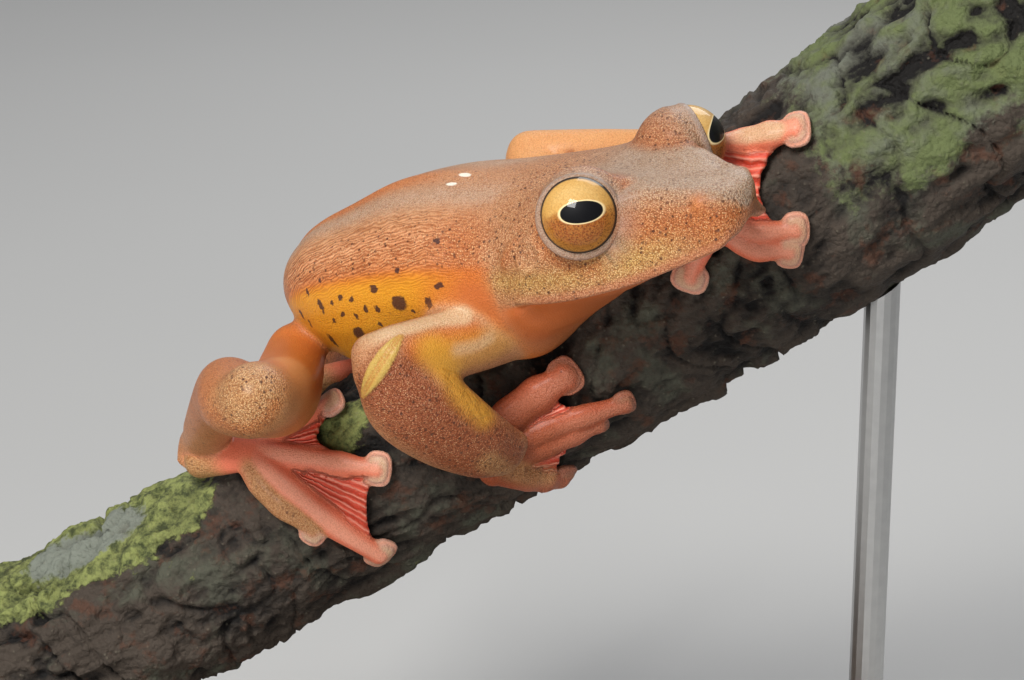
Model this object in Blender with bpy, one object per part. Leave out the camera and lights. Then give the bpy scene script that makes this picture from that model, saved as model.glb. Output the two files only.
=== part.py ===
"""A harlequin tree frog clinging to a short cut length of branch, on a plain display stand.

Sizes below are real sizes in millimetres; MM turns them into Blender's metres where a mesh is made.
+X runs up the branch, +Z is up, and the frog's right side faces -Y. Places on the frog and the branch
are measured from the middle of the branch's span, which stands HUB_HEIGHT above the table.
"""
import bpy
import bmesh
import numpy as np

MM = 0.001
GAP = 0.3                    # air kept between neighbouring pieces
HUB_HEIGHT = 62.0            # from the table to the zero of the heights below

# The branch: heights of its middle line at stations along X, and its radius there
BRANCH_X = (-53.0, -35.5, -18.0, -1.1, 13.1, 27.0, 40.5, 53.0)
BRANCH_Z = (-36.6, -27.0, -16.4, -5.7, 3.9, 13.4, 24.2, 35.0)
BRANCH_R = (9.4, 9.3, 9.3, 9.5, 10.3, 11.3, 11.8, 12.0)
BARK_DEPTH = 0.7             # the bark's furrows go inwards only, so that the feet stay clear

# The display stand
BASE_LENGTH = 112.0
BASE_WIDTH = 68.0
BASE_THICKNESS = 6.0
BASE_BEVEL = 0.8
BASE_CORNER_POWER = 5.0      # a superellipse's power: 2 is an ellipse, higher is squarer
ROD_RADIUS = 1.7
ROD_SINK = 6.0               # a rod ends this far under the branch's middle line, before the bark cuts it
ROD_STATIONS = {"stand_rod_low": -34.0, "stand_rod_high": 35.0}

# The head: its middle lies between the eyes
HEAD_CENTRE = (10.78, -16.3, 21.07)
HEAD_FORWARD = (0.706, -0.689, 0.163)
HEAD_LEFT = (0.657, 0.724, 0.211)
EYE_SIDE = 7.5               # from the head's middle plane to an eye's centre
EYE_RADIUS = 3.4
EYE_GAZE = (0.64, 0.70, 0.31)   # forward, outward, up
ORBIT_RADIUS = 4.2           # the round bulge that holds an eye
ORBIT_INWARD = 0.65          # its middle lies this far from the eye's, towards the head's middle
ORBIT_BACK = 0.3             # and this far back along the gaze
LID_RADIUS = 3.75
LID_THICKNESS = 0.38
LID_FORWARD = 0.95           # the lid's rim lies this far in front of the eye's centre
NOSTRIL = (10.2, 2.5, -0.1)
NOSTRIL_RADIUS = 0.8         # of its raised rim
NOSTRIL_PIT = (10.5, 3.1, 0.0)
NOSTRIL_PIT_RADIUS = 0.12
TYMPANUM = (-5.6, 9.9, -3.4)
TYMPANUM_RADIUS = 1.5
TYMPANUM_RIM = 0.3
FOLD_RADII = (0.6, 0.65, 0.65, 0.5)
FOLD_PATH = ((-3.4, 7.0, 2.2), (-6.0, 8.7, 0.2), (-8.0, 9.8, -2.8), (-9.0, 10.1, -6.0))

# Sections of the head. Forward place, height of the crown, then (half width, height) of the ridge
# from eye to nostril, the cheek, the upper lip, the lower lip and the throat, then the chin's height
HEAD_SECTIONS = (
    (14.1, -1.6, (0.5, -1.7), (0.7, -2.1), (0.8, -2.7), (0.5, -3.2), (0.3, -3.4), -3.5),
    (13.3, -0.4, (1.3, -0.5), (1.9, -1.8), (2.2, -3.4), (1.6, -4.3), (0.9, -4.7), -4.8),
    (11.2, 0.3, (2.5, 0.2), (3.2, -1.6), (4.1, -4.4), (3.4, -5.3), (2.0, -5.8), -6.0),
    (8.2, 0.8, (3.1, 0.8), (4.5, -1.7), (5.9, -5.2), (5.1, -6.2), (3.2, -7.0), -7.3),
    (4.8, 1.1, (4.2, 1.3), (6.0, -1.7), (7.7, -6.0), (6.8, -7.2), (4.4, -8.1), -8.4),
    (1.2, 1.3, (5.4, 1.7), (7.8, -1.7), (9.1, -6.6), (8.1, -8.0), (5.4, -9.0), -9.4),
    (-2.4, 1.3, (5.8, 1.4), (8.8, -1.8), (10.1, -7.1), (9.1, -8.6), (6.0, -10.0), -10.6),
    (-6.2, 1.1, (5.8, 0.5), (9.3, -2.4), (10.4, -7.4), (9.6, -9.2), (6.6, -11.3), -12.2),
    (-10.0, 1.0, (6.0, -0.3), (9.4, -3.4), (10.2, -7.4), (9.9, -10.0), (7.4, -13.2), -14.2),
)
MOUTH_DEPTH = 0.5            # how far the line of the mouth is drawn in between the lips
MOUTH_CORNER = -8.4          # the mouth ends here, as a forward place

# Sections of the trunk, from neck to vent: middle point, half width, rise above it, depth below it,
# and the roll towards -Y in degrees
TRUNK_SECTIONS = (
    ((1.2, -7.2, 12.6), 9.8, 6.7, 10.9, 12.0),
    ((-3.4, -4.9, 11.2), 9.9, 7.1, 10.5, 10.0),
    ((-8.2, -2.4, 9.5), 9.7, 6.6, 9.0, 7.0),
    ((-12.4, -0.6, 7.7), 8.8, 6.0, 8.9, 4.0),
    ((-15.7, 0.8, 6.0), 7.4, 5.4, 8.7, 2.0),
    ((-17.9, 1.8, 4.4), 5.9, 4.7, 7.0, 0.0),
    ((-19.5, 2.4, 3.0), 3.6, 3.2, 4.6, 0.0),
    ((-20.3, 2.7, 2.5), 0.8, 0.8, 0.9, 0.0),
)
RAIL_ANGLES = (0.0, 32.0, 64.0, 92.0, 101.0, 112.0, 146.0, 180.0)   # from the back down to the belly
BELLY_POWER = 0.85           # under 1 makes the belly's section squarer than an ellipse
NECK_RING = 8.35             # the head ends and the trunk begins here, between ring 8 and ring 9
NECK_GAP = 0.09              # of a ring, so that head and trunk stay clear of each other
LAST_RING = 16.0

# Limbs: points along the middle of each, then half width and half thickness at each point
ARM_RIGHT = {
    "upper_arm": (((-1.0, -10.4, 5.6), (-5.6, -14.8, 5.0), (-10.6, -17.6, 4.6)),
                  (3.6, 3.3, 3.2), (3.2, 2.9, 3.0)),
    "forearm": (((-11.3, -17.7, 3.6), (-9.2, -17.7, 0.9), (-6.0, -16.9, -2.1), (-2.4, -15.4, -4.8)),
                (3.5, 4.4, 4.2, 3.6), (2.9, 3.0, 2.6, 1.9)),
}
ARM_LEFT = {
    "upper_arm": (((4.6, -1.8, 12.0), (2.9, 2.0, 14.4), (1.6, 5.4, 16.2)), (3.0, 2.6, 2.5), (2.8, 2.5, 2.4)),
    "forearm": (((1.7, 6.0, 16.6), (8.2, 3.8, 17.5), (13.4, 0.0, 19.0), (16.9, -2.8, 20.6)),
                (2.4, 2.3, 2.0, 1.9), (2.3, 2.1, 1.6, 1.3)),
}
LEG_RIGHT = {
    "thigh": (((-20.6, -2.2, -1.0), (-20.9, -8.3, -1.2), (-21.3, -15.5, 0.1), (-22.6, -23.0, 2.8)),
              (3.0, 3.4, 3.6, 3.5), (3.0, 3.4, 3.6, 3.4)),
    "shank": (((-24.4, -22.2, 1.4), (-25.3, -16.0, 1.0), (-27.6, -8.5, -4.2), (-29.9, -2.2, -9.8)),
              (2.5, 3.1, 2.7, 2.0), (2.5, 3.1, 2.7, 1.9)),
}
LEG_LEFT = {
    "thigh": (((-14.6, 3.6, 2.4), (-14.2, 11.0, 0.4), (-13.4, 19.0, -1.6), (-12.6, 26.0, -4.0)),
              (3.6, 4.2, 4.0, 3.1), (3.6, 4.2, 4.0, 3.0)),
    "shank": (((-15.0, 25.2, -6.2), (-17.0, 21.0, -6.6), (-19.4, 14.6, -7.2), (-21.2, 8.9, -7.4)),
              (2.5, 3.1, 2.7, 2.0), (2.5, 3.1, 2.7, 1.9)),
}

# Hands and feet are laid out on the branch: (station along X, degrees from its top towards -Y).
# Each digit has a root, a middle joint and the middle of its disc. The spur is the flap of skin at the
# heel, given as two places in space
HAND_RIGHT = {
    "root": (-2.8, 97.0), "palm": 2.9, "palm_rise": 1.0,
    "digit": (1.4, 1.0, 1.0, 1.15), "disc": 1.6, "reach": 0.86, "draw_in": 0.18,
    "digits": (((-2.4, 87.0), (1.6, 82.0), (5.7, 81.0)),
               ((-1.4, 97.0), (3.0, 101.0), (8.2, 110.0)),
               ((-1.4, 103.0), (2.2, 108.5), (5.2, 114.0)),
               ((-2.2, 110.0), (-1.0, 124.0), (0.2, 138.0))),
}
HAND_LEFT = {
    "root": (23.0, 19.0), "palm": 1.9, "palm_rise": 0.75,
    "digit": (1.0, 1.0, 1.1, 1.15), "disc": 1.55, "reach": 0.80, "draw_in": 0.18,
    "digits": (((24.4, 36.0), (21.6, 57.0), (18.0, 73.0)),
               ((25.2, 38.0), (25.0, 62.0), (25.7, 85.5)),
               ((25.6, 37.0), (26.8, 59.0), (27.8, 79.0)),
               ((25.8, 31.0), (28.4, 34.0), (31.2, 42.0))),
}
FOOT_RIGHT = {
    "root": (-24.0, 20.0), "palm": 2.0, "palm_rise": 1.0,
    "digit": (0.85, 0.9, 0.95, 1.0, 0.9), "disc": 1.5, "reach": 0.93, "draw_in": 0.10,
    "spur": ((-30.2, -2.6, -9.8), (-31.6, -2.8, -11.4)),
    "digits": (((-19.4, 22.0), (-17.2, 17.0), (-14.9, 11.0)),
               ((-19.2, 27.0), (-15.6, 27.0), (-12.2, 24.0)),
               ((-19.4, 30.0), (-15.0, 52.0), (-11.1, 74.0)),
               ((-19.8, 31.0), (-17.2, 68.0), (-14.8, 115.0)),
               ((-20.4, 30.0), (-19.8, 54.0), (-17.8, 83.0))),
}
FOOT_LEFT = {
    "root": (-15.6, -42.0), "palm": 2.0, "palm_rise": 1.0,
    "digit": (0.85, 0.9, 0.95, 1.0, 0.9), "disc": 1.5, "reach": 0.94, "draw_in": 0.10,
    "spur": ((-21.8, 9.8, -8.6), (-23.4, 10.6, -10.0)),
    "digits": (((-10.6, -50.0), (-8.0, -48.0), (-5.0, -46.0)),
               ((-10.6, -54.0), (-6.6, -57.0), (-2.4, -60.0)),
               ((-10.8, -56.0), (-6.6, -80.0), (-2.8, -102.0)),
               ((-11.2, -57.0), (-9.0, -94.0), (-6.8, -138.0)),
               ((-11.8, -56.0), (-11.2, -82.0), (-9.6, -112.0))),
}
DIGIT_HEIGHTS = (1.7, 1.45, 1.3, 1.25)   # of a digit's middle line over the bark, from root to tip
PALM_HEIGHTS = (2.2, 2.0, 1.8)
PALM_THICKNESS = (1.6, 1.5, 1.3)     # half of it
DIGIT_WIDTHS = (1.15, 1.0, 1.0, 1.0)     # half of it, in parts of the digit's own radius
DIGIT_THICKNESSES = (1.0, 1.0, 0.9, 0.8)
DISC_THICKNESS = 0.8         # half of a disc's thickness
DISC_REST = 0.35             # air under a disc
WEB_HEIGHT = 0.6             # of a web's underside over the bark, at its free edge
WEB_ROOT_RISE = 0.4          # how much higher it starts between the roots of the digits
WEB_LIFT = 0.07              # every second web lies a little higher, so that two webs cross cleanly
WEB_OVERLAP = 0.06           # how far a web runs past the middle lines of its digits, in its own widths
WEB_THICKNESS = 0.55
WEB_PLEATS = 3               # folds across one web, lying along the digits
WEB_PLEAT_HEIGHT = 0.4
SPUR_SIZE = ((2.2, 1.2), (0.6, 0.4))     # half widths and half thicknesses of the heel's flap
ELBOW_FOLDS = {"right": (((-11.2, -20.2, 5.0), (-12.6, -20.6, 3.4), (-13.2, -20.0, 1.4)),), "left": ()}
ELBOW_FOLD_SIZE = ((0.7, 0.75, 0.4), (0.4, 0.4, 0.3))


def read_rows(rows, at):
    """Rows of numbers joined by a smooth curve (Catmull-Rom) and read at places 0 to len(rows) - 1."""
    rows = np.asarray(rows, float)
    rows = np.concatenate([2 * rows[:1] - rows[1:2], rows, 2 * rows[-1:] - rows[-2:-1]])
    at = np.asarray(at, float)
    first = np.clip(np.floor(at).astype(int), 0, len(rows) - 4)
    t = (at - first).reshape((-1,) + (1,) * (rows.ndim - 1))
    a, b, c, d = rows[first], rows[first + 1], rows[first + 2], rows[first + 3]
    return b + 0.5 * t * (c - a + t * (2 * a - 5 * b + 4 * c - d + t * (3 * (b - c) + d - a)))


def unit(vectors):
    """The same directions with length 1."""
    vectors = np.asarray(vectors, float)
    return vectors / np.linalg.norm(vectors, axis=-1, keepdims=True)


def across(direction):
    """Two unit vectors at right angles to a direction."""
    direction = unit(direction)
    helper = (0.0, 0.0, 1.0) if abs(direction[2]) < 0.9 else (1.0, 0.0, 0.0)
    first = unit(np.cross(direction, helper))
    return first, np.cross(direction, first)


# Meshes and Booleans

def material(name, colour, roughness, metallic=0.0):
    """A Principled material in one plain colour."""
    found = bpy.data.materials.new(name)
    found.use_nodes = True
    shader = found.node_tree.nodes["Principled BSDF"]
    shader.inputs["Base Color"].default_value = (*colour, 1.0)
    shader.inputs["Roughness"].default_value = roughness
    shader.inputs["Metallic"].default_value = metallic
    return found


def make(name, points, faces, finish=None):
    """An object from points in millimetres and faces, its normals turned outwards."""
    mesh = bpy.data.meshes.new(name)
    raised = np.asarray(points, float) + (0.0, 0.0, HUB_HEIGHT)
    mesh.from_pydata((raised * MM).tolist(), [], [list(face) for face in faces])
    shape = bmesh.new()
    shape.from_mesh(mesh)
    bmesh.ops.triangulate(shape, faces=shape.faces)
    bmesh.ops.recalc_face_normals(shape, faces=shape.faces)
    shape.to_mesh(mesh)
    shape.free()
    mesh.shade_smooth()
    piece = bpy.data.objects.new(name, mesh)
    bpy.context.scene.collection.objects.link(piece)
    if finish is not None:
        mesh.materials.append(finish)
    return piece


def skin_over(rings):
    """Points and faces over a stack of closed rings, with a fan to the middle of each end ring."""
    rings = np.asarray(rings, float)
    count, sides = rings.shape[:2]
    points = np.concatenate([rings.reshape(-1, 3), rings[:1].mean(axis=1), rings[-1:].mean(axis=1)])
    faces = []
    for row in range(count - 1):
        for side in range(sides):
            after = (side + 1) % sides
            low, high = row * sides, (row + 1) * sides
            faces.append((low + side, low + after, high + after, high + side))
    last = (count - 1) * sides
    for side in range(sides):
        after = (side + 1) % sides
        faces.append((after, side, count * sides))
        faces.append((last + side, last + after, count * sides + 1))
    return points, faces


def grown(piece, distance):
    """A copy of a piece whose surface lies further out along its normals."""
    copy = piece.copy()
    copy.data = piece.data.copy()
    bpy.context.scene.collection.objects.link(copy)
    mesh = copy.data
    places = np.empty(len(mesh.vertices) * 3)
    normals = np.empty(len(mesh.vertices) * 3)
    mesh.vertices.foreach_get("co", places)
    mesh.vertex_normals.foreach_get("vector", normals)
    mesh.vertices.foreach_set("co", places + normals * distance * MM)
    mesh.update()
    return copy


def keep_largest(shape):
    """Delete every closed surface of a bmesh but the one with the most area."""
    left = set(shape.faces)
    islands = []
    while left:
        island = {left.pop()}
        front = list(island)
        while front:
            for edge in front.pop().edges:
                for face in edge.link_faces if len(edge.link_faces) == 2 else ():
                    if face in left:
                        left.discard(face)
                        island.add(face)
                        front.append(face)
        islands.append(island)
    islands.sort(key=lambda island: sum(face.calc_area() for face in island))
    for island in islands[:-1]:
        bmesh.ops.delete(shape, geom=list(island), context="FACES")
    bmesh.ops.delete(shape, geom=[vert for vert in shape.verts if not vert.link_faces], context="VERTS")


def settle(piece):
    """Replace a piece's mesh by what its modifiers make, keeping only its largest closed surface."""
    graph = bpy.context.evaluated_depsgraph_get()
    mesh = bpy.data.meshes.new_from_object(piece.evaluated_get(graph))
    piece.modifiers.clear()
    piece.data = mesh
    shape = bmesh.new()
    shape.from_mesh(mesh)
    bmesh.ops.triangulate(shape, faces=shape.faces)
    keep_largest(shape)
    shape.to_mesh(mesh)
    shape.free()


def discard(pieces):
    """Take helper objects out of the file."""
    for piece in pieces:
        bpy.data.objects.remove(piece)


def fuse(piece, others, solver="EXACT"):
    """Join other closed pieces to a piece with one Boolean union."""
    group = bpy.data.collections.new(piece.name + "_parts")
    for other in others:
        group.objects.link(other)
    union = piece.modifiers.new("union", "BOOLEAN")
    union.operation = "UNION"
    union.operand_type = "COLLECTION"
    union.collection = group
    union.solver = solver
    settle(piece)
    discard(others)
    bpy.data.collections.remove(group)


def cut(piece, rooms, solver="EXACT"):
    """Take away from a piece the room that each neighbour needs: its shape grown by the gap."""
    for room in rooms:
        cutter = grown(room, GAP)
        difference = piece.modifiers.new("cut", "BOOLEAN")
        difference.operation = "DIFFERENCE"
        difference.object = cutter
        difference.solver = solver
        settle(piece)
        discard([cutter])


# The branch

def branch_at(station):
    """Middle point, upward normal and radius of the branch at stations along X."""
    rows = np.column_stack([BRANCH_X, BRANCH_Z, BRANCH_R])
    place = np.interp(np.asarray(station, float), BRANCH_X, np.arange(len(BRANCH_X)))
    along = read_rows(rows, place)
    slope = unit((read_rows(rows, place + 0.01) - read_rows(rows, place - 0.01))[:, :2])
    level = np.zeros(len(place))
    centre = np.column_stack([along[:, 0], level, along[:, 1]])
    normal = np.column_stack([-slope[:, 1], level, slope[:, 0]])
    return centre, normal, along[:, 2]


def on_branch(station, degrees, height):
    """Points at a height over the smooth branch: its middle, plus the radius and the height outwards."""
    station, degrees, height = np.broadcast_arrays(np.asarray(station, float), degrees, height)
    centre, normal, radius = branch_at(station.ravel())
    angle = np.radians(degrees.ravel())[:, None]
    outward = np.cos(angle) * normal + np.sin(angle) * np.array([0.0, -1.0, 0.0])
    points = centre + (radius + height.ravel())[:, None] * outward
    return points.reshape(station.shape + (3,))


def away_from_branch(station, degrees):
    """The direction straight out of the branch at one place."""
    return unit(on_branch(station, degrees, 5.0) - on_branch(station, degrees, 0.0))


def bark_depth(station, angle):
    """How deep the bark's furrows are: long waves that wander along the branch."""
    wave = np.sin(7 * angle + 0.16 * station) * np.sin(0.21 * station + 2 * angle)
    fine = np.sin(11 * angle - 0.3 * station + 1.0) * np.sin(0.43 * station + 1.3)
    return BARK_DEPTH * (0.5 - 0.32 * wave - 0.18 * fine)


def branch_rings(first, last, count, sides):
    """Stations and angles of a grid over the branch."""
    return np.meshgrid(np.linspace(first, last, count), np.linspace(0, 2 * np.pi, sides, endpoint=False),
                       indexing="ij")


def make_branch(name, finish):
    """The cut length of branch, its bark furrowed inwards."""
    station, angle = branch_rings(BRANCH_X[0], BRANCH_X[-1], 22, 26)
    return make(name, *skin_over(on_branch(station, np.degrees(angle), -bark_depth(station, angle))), finish)


def make_branch_room():
    """The smooth branch that the frog is kept clear of."""
    station, angle = branch_rings(BRANCH_X[0] + 0.5, BRANCH_X[-1] - 0.5, 28, 36)
    return make("branch_room", *skin_over(on_branch(station, np.degrees(angle), 0.0)))


# The head and the trunk are one smooth surface through rings of rails

def head_point(forward, side, up):
    """A place in the head's own directions; side is positive towards the frog's right."""
    ahead = unit(HEAD_FORWARD)
    left = unit(np.asarray(HEAD_LEFT) - ahead * np.dot(HEAD_LEFT, ahead))
    crown = np.cross(ahead, left)
    return (np.asarray(HEAD_CENTRE) + np.multiply.outer(forward, ahead)
            - np.multiply.outer(side, left) + np.multiply.outer(up, crown))


def head_direction(forward, side, up):
    """A direction given in the head's own directions."""
    return unit(head_point(forward, side, up) - head_point(0.0, 0.0, 0.0))


def whole_ring(half):
    """A closed ring from the rails of one half, crown first and belly last, as (side, up) rows."""
    half = np.asarray(half, float)
    return np.concatenate([half, half[-2:0:-1] * (-1.0, 1.0)])


def head_ring(forward, crown, ridge, cheek, upper_lip, lower_lip, throat, chin):
    """One ring of the head; between the lips a rail is drawn in as the line of the mouth."""
    depth = MOUTH_DEPTH * np.clip((forward - MOUTH_CORNER) / 2.0, 0.0, 1.0) * min(1.0, upper_lip[0] / 3.0)
    mouth = (0.5 * (upper_lip[0] + lower_lip[0]) - depth, 0.6 * upper_lip[1] + 0.4 * lower_lip[1])
    ring = whole_ring([(0.0, crown), ridge, cheek, upper_lip, mouth, lower_lip, throat, (0.0, chin)])
    return head_point(np.full(len(ring), forward), ring[:, 0], ring[:, 1])


def trunk_ring(centre, along, width, rise, depth, roll):
    """One ring of the trunk: half an ellipse over the middle and half a squarer one under it."""
    angle = np.radians(RAIL_ANGLES)
    right = unit(np.cross(along, (0.0, 0.0, 1.0)))
    right = right if right[1] < 0 else -right
    up = np.cross(right, along)
    up = up if up[2] > 0 else -up
    turn = np.radians(roll)
    outward = np.cos(turn) * right - np.sin(turn) * up
    upward = np.cos(turn) * up + np.sin(turn) * right
    below = np.cos(angle) < 0
    side = width * np.where(below, np.abs(np.sin(angle)) ** BELLY_POWER, np.sin(angle))
    height = np.where(below, -depth * np.abs(np.cos(angle)) ** BELLY_POWER, rise * np.cos(angle))
    ring = whole_ring(np.column_stack([side, height]))
    return np.asarray(centre) + ring[:, :1] * outward + ring[:, 1:] * upward


def body_rings():
    """The rails' rings from snout to vent."""
    rings = [head_ring(*section) for section in HEAD_SECTIONS]
    travel = unit(np.gradient(np.array([section[0] for section in TRUNK_SECTIONS]), axis=0))
    for (centre, width, rise, depth, roll), along in zip(TRUNK_SECTIONS, travel):
        rings.append(trunk_ring(centre, along, width, rise, depth, roll))
    return np.array(rings)


def body_surface(first, last, steps, fineness=2):
    """Rings read from the smooth body between two ring numbers, with each rail interval divided."""
    rows = read_rows(body_rings(), np.linspace(first, last, steps))
    sides = rows.shape[1]
    around = np.arange(sides * fineness) / fineness
    wrapped = np.concatenate([rows[:, -2:], rows, rows[:, :3]], axis=1)
    return np.swapaxes(read_rows(np.swapaxes(wrapped, 0, 1), around + 2.0), 0, 1)


def ball(name, centre, radius, finish=None, axis=(0.0, 0.0, 1.0), flat=1.0, rows=7, sides=14):
    """A sphere, or a disc-like one where flat is under 1 along its axis."""
    first, second = across(axis)
    tilt, turn = np.meshgrid(np.linspace(0, np.pi, rows + 2)[1:-1],
                             np.linspace(0, 2 * np.pi, sides, endpoint=False), indexing="ij")
    round_it = np.cos(turn)[..., None] * first + np.sin(turn)[..., None] * second
    rings = np.sin(tilt)[..., None] * round_it + flat * np.cos(tilt)[..., None] * unit(axis)
    points, faces = skin_over(np.asarray(centre) + radius * rings)
    points[-2] = np.asarray(centre) + radius * flat * unit(axis)
    points[-1] = np.asarray(centre) - radius * flat * unit(axis)
    return make(name, points, faces, finish)


def hoop(name, centre, axis, radius, thickness, sides=20, around=6):
    """A ring of round section: the eyelid's rim, or the rim of the eardrum."""
    first, second = across(axis)
    turn, roll = np.meshgrid(np.linspace(0, 2 * np.pi, sides, endpoint=False),
                             np.linspace(0, 2 * np.pi, around, endpoint=False), indexing="ij")
    spoke = np.cos(turn)[..., None] * first + np.sin(turn)[..., None] * second
    points = (np.asarray(centre) + spoke * (radius + thickness * np.cos(roll))[..., None]
              + unit(axis) * (thickness * np.sin(roll))[..., None])
    faces = []
    for row in range(sides):
        for column in range(around):
            next_row, next_column = (row + 1) % sides, (column + 1) % around
            faces.append((row * around + column, next_row * around + column,
                          next_row * around + next_column, row * around + next_column))
    return make(name, points.reshape(-1, 3), faces)


def tube(name, places, wide, thick, finish=None, flat_to=(0.0, -1.0, 0.0), steps=7, sides=10, caps=2):
    """A limb: oval rings along a smooth path, wide across it and thick towards flat_to, with round ends."""
    at = np.linspace(0, len(places) - 1, steps)
    path = read_rows(places, at)
    size = read_rows(np.column_stack([wide, thick]), at)
    travel = unit(np.gradient(path, axis=0))
    bend = np.linspace(0, np.radians(72), caps + 1)[1:]
    start = [(path[0] - travel[0] * size[0].min() * np.sin(turned), travel[0], size[0] * np.cos(turned))
             for turned in bend[::-1]]
    end = [(path[-1] + travel[-1] * size[-1].min() * np.sin(turned), travel[-1], size[-1] * np.cos(turned))
           for turned in bend]
    turn = np.linspace(0, 2 * np.pi, sides, endpoint=False)[:, None]
    rings = []
    for point, along, half in start + list(zip(path, travel, size)) + end:
        side = unit(np.cross(along, flat_to))
        face = np.cross(side, along)
        rings.append(point + half[0] * np.cos(turn) * side + half[1] * np.sin(turn) * face)
    points, faces = skin_over(rings)
    points[-2] = path[0] - travel[0] * size[0].min()
    points[-1] = path[-1] + travel[-1] * size[-1].min()
    return make(name, points, faces, finish)


# Hands and feet lie on the branch

def make_digit(name, digit, radius, disc_radius):
    """One finger or toe and the flat disc at its tip, as two closed pieces."""
    path = read_rows(digit, np.linspace(0, len(digit) - 1, len(DIGIT_HEIGHTS)))
    points = on_branch(path[:, 0], path[:, 1], np.array(DIGIT_HEIGHTS))
    bone = tube(name, points, np.multiply(radius, DIGIT_WIDTHS), np.multiply(radius, DIGIT_THICKNESSES),
                flat_to=away_from_branch(*path[1]), steps=5, sides=7, caps=1)
    centre = on_branch(*path[-1], DISC_THICKNESS + DISC_REST)
    disc = ball(name + "_disc", centre, disc_radius, axis=away_from_branch(*path[-1]),
                flat=DISC_THICKNESS / disc_radius, rows=4, sides=10)
    return [bone, disc]


def make_web(name, one, two, reach, draw_in, lift):
    """The web between two digits: a thin pleated sheet whose free edge is drawn in between them."""
    fraction, place = np.meshgrid(np.linspace(-WEB_OVERLAP, 1 + WEB_OVERLAP, 2 * WEB_PLEATS + 1),
                                  np.linspace(0, 1, 6), indexing="ij")
    at = 2.0 * place * (reach - draw_in * np.sin(np.pi * fraction))
    first = read_rows(one, at.ravel()).reshape(at.shape + (2,))
    second = read_rows(two, at.ravel()).reshape(at.shape + (2,))
    where = first + fraction[..., None] * (second - first)
    ridge = (np.arange(2 * WEB_PLEATS + 1) % 2)[:, None] * WEB_PLEAT_HEIGHT
    height = WEB_HEIGHT + lift + WEB_ROOT_RISE * (1 - place) + ridge * np.clip(place * 2.5, 0.0, 1.0)
    bottom = on_branch(where[..., 0], where[..., 1], height)
    top = on_branch(where[..., 0], where[..., 1], height + WEB_THICKNESS)
    return make(name, *skin_over(np.concatenate([bottom, top[:, ::-1]], axis=1)))


def make_foot(name, layout, finish):
    """A webbed hand or foot: palm, digits with their discs, and a web between each two digits."""
    digits = layout["digits"]
    roots = np.array([digit[0] for digit in digits]).mean(axis=0)
    path = read_rows([layout["root"], roots], (0.0, 0.5, 1.0))
    width = layout["palm"]
    rise = layout["palm_rise"]
    palm = tube(name, on_branch(path[:, 0], path[:, 1], rise * np.array(PALM_HEIGHTS)),
                (width, 1.1 * width, 1.1 * width), rise * np.array(PALM_THICKNESS), finish,
                flat_to=away_from_branch(*path[1]), steps=4)
    pieces = []
    for number, digit in enumerate(digits):
        pieces += make_digit(f"{name}_digit_{number}", digit, layout["digit"][number], layout["disc"])
    for number, (one, two) in enumerate(zip(digits, digits[1:])):
        lift = WEB_LIFT * (number % 2)
        pieces.append(make_web(f"{name}_web_{number}", one, two, layout["reach"], layout["draw_in"], lift))
    if "spur" in layout:
        pieces.append(tube(name + "_spur", layout["spur"], *SPUR_SIZE, steps=3, sides=8, caps=1))
    fuse(palm, pieces, solver="MANIFOLD")
    return palm


# The display stand

def make_base(name, finish):
    """A flat plate with rounded corners, bevelled round its upper and lower edges."""
    turn = np.linspace(0, 2 * np.pi, 48, endpoint=False)
    power = 2.0 / BASE_CORNER_POWER
    size = np.array([BASE_LENGTH, BASE_WIDTH])
    outline = 0.5 * size * np.column_stack([np.sign(np.cos(turn)) * np.abs(np.cos(turn)) ** power,
                                            np.sign(np.sin(turn)) * np.abs(np.sin(turn)) ** power])
    rings = []
    for inset, height in ((BASE_BEVEL, 0.0), (0.0, BASE_BEVEL), (0.0, BASE_THICKNESS - BASE_BEVEL),
                          (BASE_BEVEL, BASE_THICKNESS)):
        level = np.full(len(turn), height - HUB_HEIGHT)
        rings.append(np.column_stack([outline * (1 - 2 * inset / size), level]))
    return make(name, *skin_over(rings), finish)


def make_rod(name, station, finish):
    """A short upright rod from the base up into the branch, whose room then cuts its top."""
    turn = np.linspace(0, 2 * np.pi, 16, endpoint=False)
    centre = branch_at([station])[0][0]
    rings = []
    for height in (BASE_THICKNESS + GAP - HUB_HEIGHT, centre[2] - ROD_SINK):
        rings.append(np.column_stack([centre[0] + ROD_RADIUS * np.cos(turn), ROD_RADIUS * np.sin(turn),
                                      np.full(len(turn), height)]))
    return make(name, *skin_over(rings), finish)


# The frog

def eye_frame(side):
    """An eye's centre and the direction it looks in; side is 1 for the right, -1 for the left."""
    forward, outward, up = EYE_GAZE
    return head_point(0.0, side * EYE_SIDE, 0.0), head_direction(forward, side * outward, up)


def orbit(side):
    """The round bulge that holds one eye."""
    centre, gaze = eye_frame(side)
    inward = head_direction(-0.25, -side, -0.15)
    return ball("orbit", centre + ORBIT_INWARD * inward - ORBIT_BACK * gaze, ORBIT_RADIUS,
                axis=gaze, rows=7, sides=16)


def face_details(side):
    """One side's eyelid, nostril rim, eardrum rim and the fold behind the eye."""
    centre, gaze = eye_frame(side)
    forward, outward, up = NOSTRIL
    drum_forward, drum_outward, drum_up = TYMPANUM
    fold = [head_point(ahead, side * out, high) for ahead, out, high in FOLD_PATH]
    return [
        orbit(side),
        hoop("lid", centre + LID_FORWARD * gaze, gaze, LID_RADIUS, LID_THICKNESS),
        ball("nostril_rim", head_point(forward, side * outward, up), NOSTRIL_RADIUS, rows=4, sides=8),
        hoop("eardrum", head_point(drum_forward, side * drum_outward, drum_up),
             head_direction(-0.1, side, 0.15),
             TYMPANUM_RADIUS, TYMPANUM_RIM, sides=12, around=5),
        tube("fold", fold, FOLD_RADII, FOLD_RADII, steps=5, sides=6, caps=1),
    ]


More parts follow.
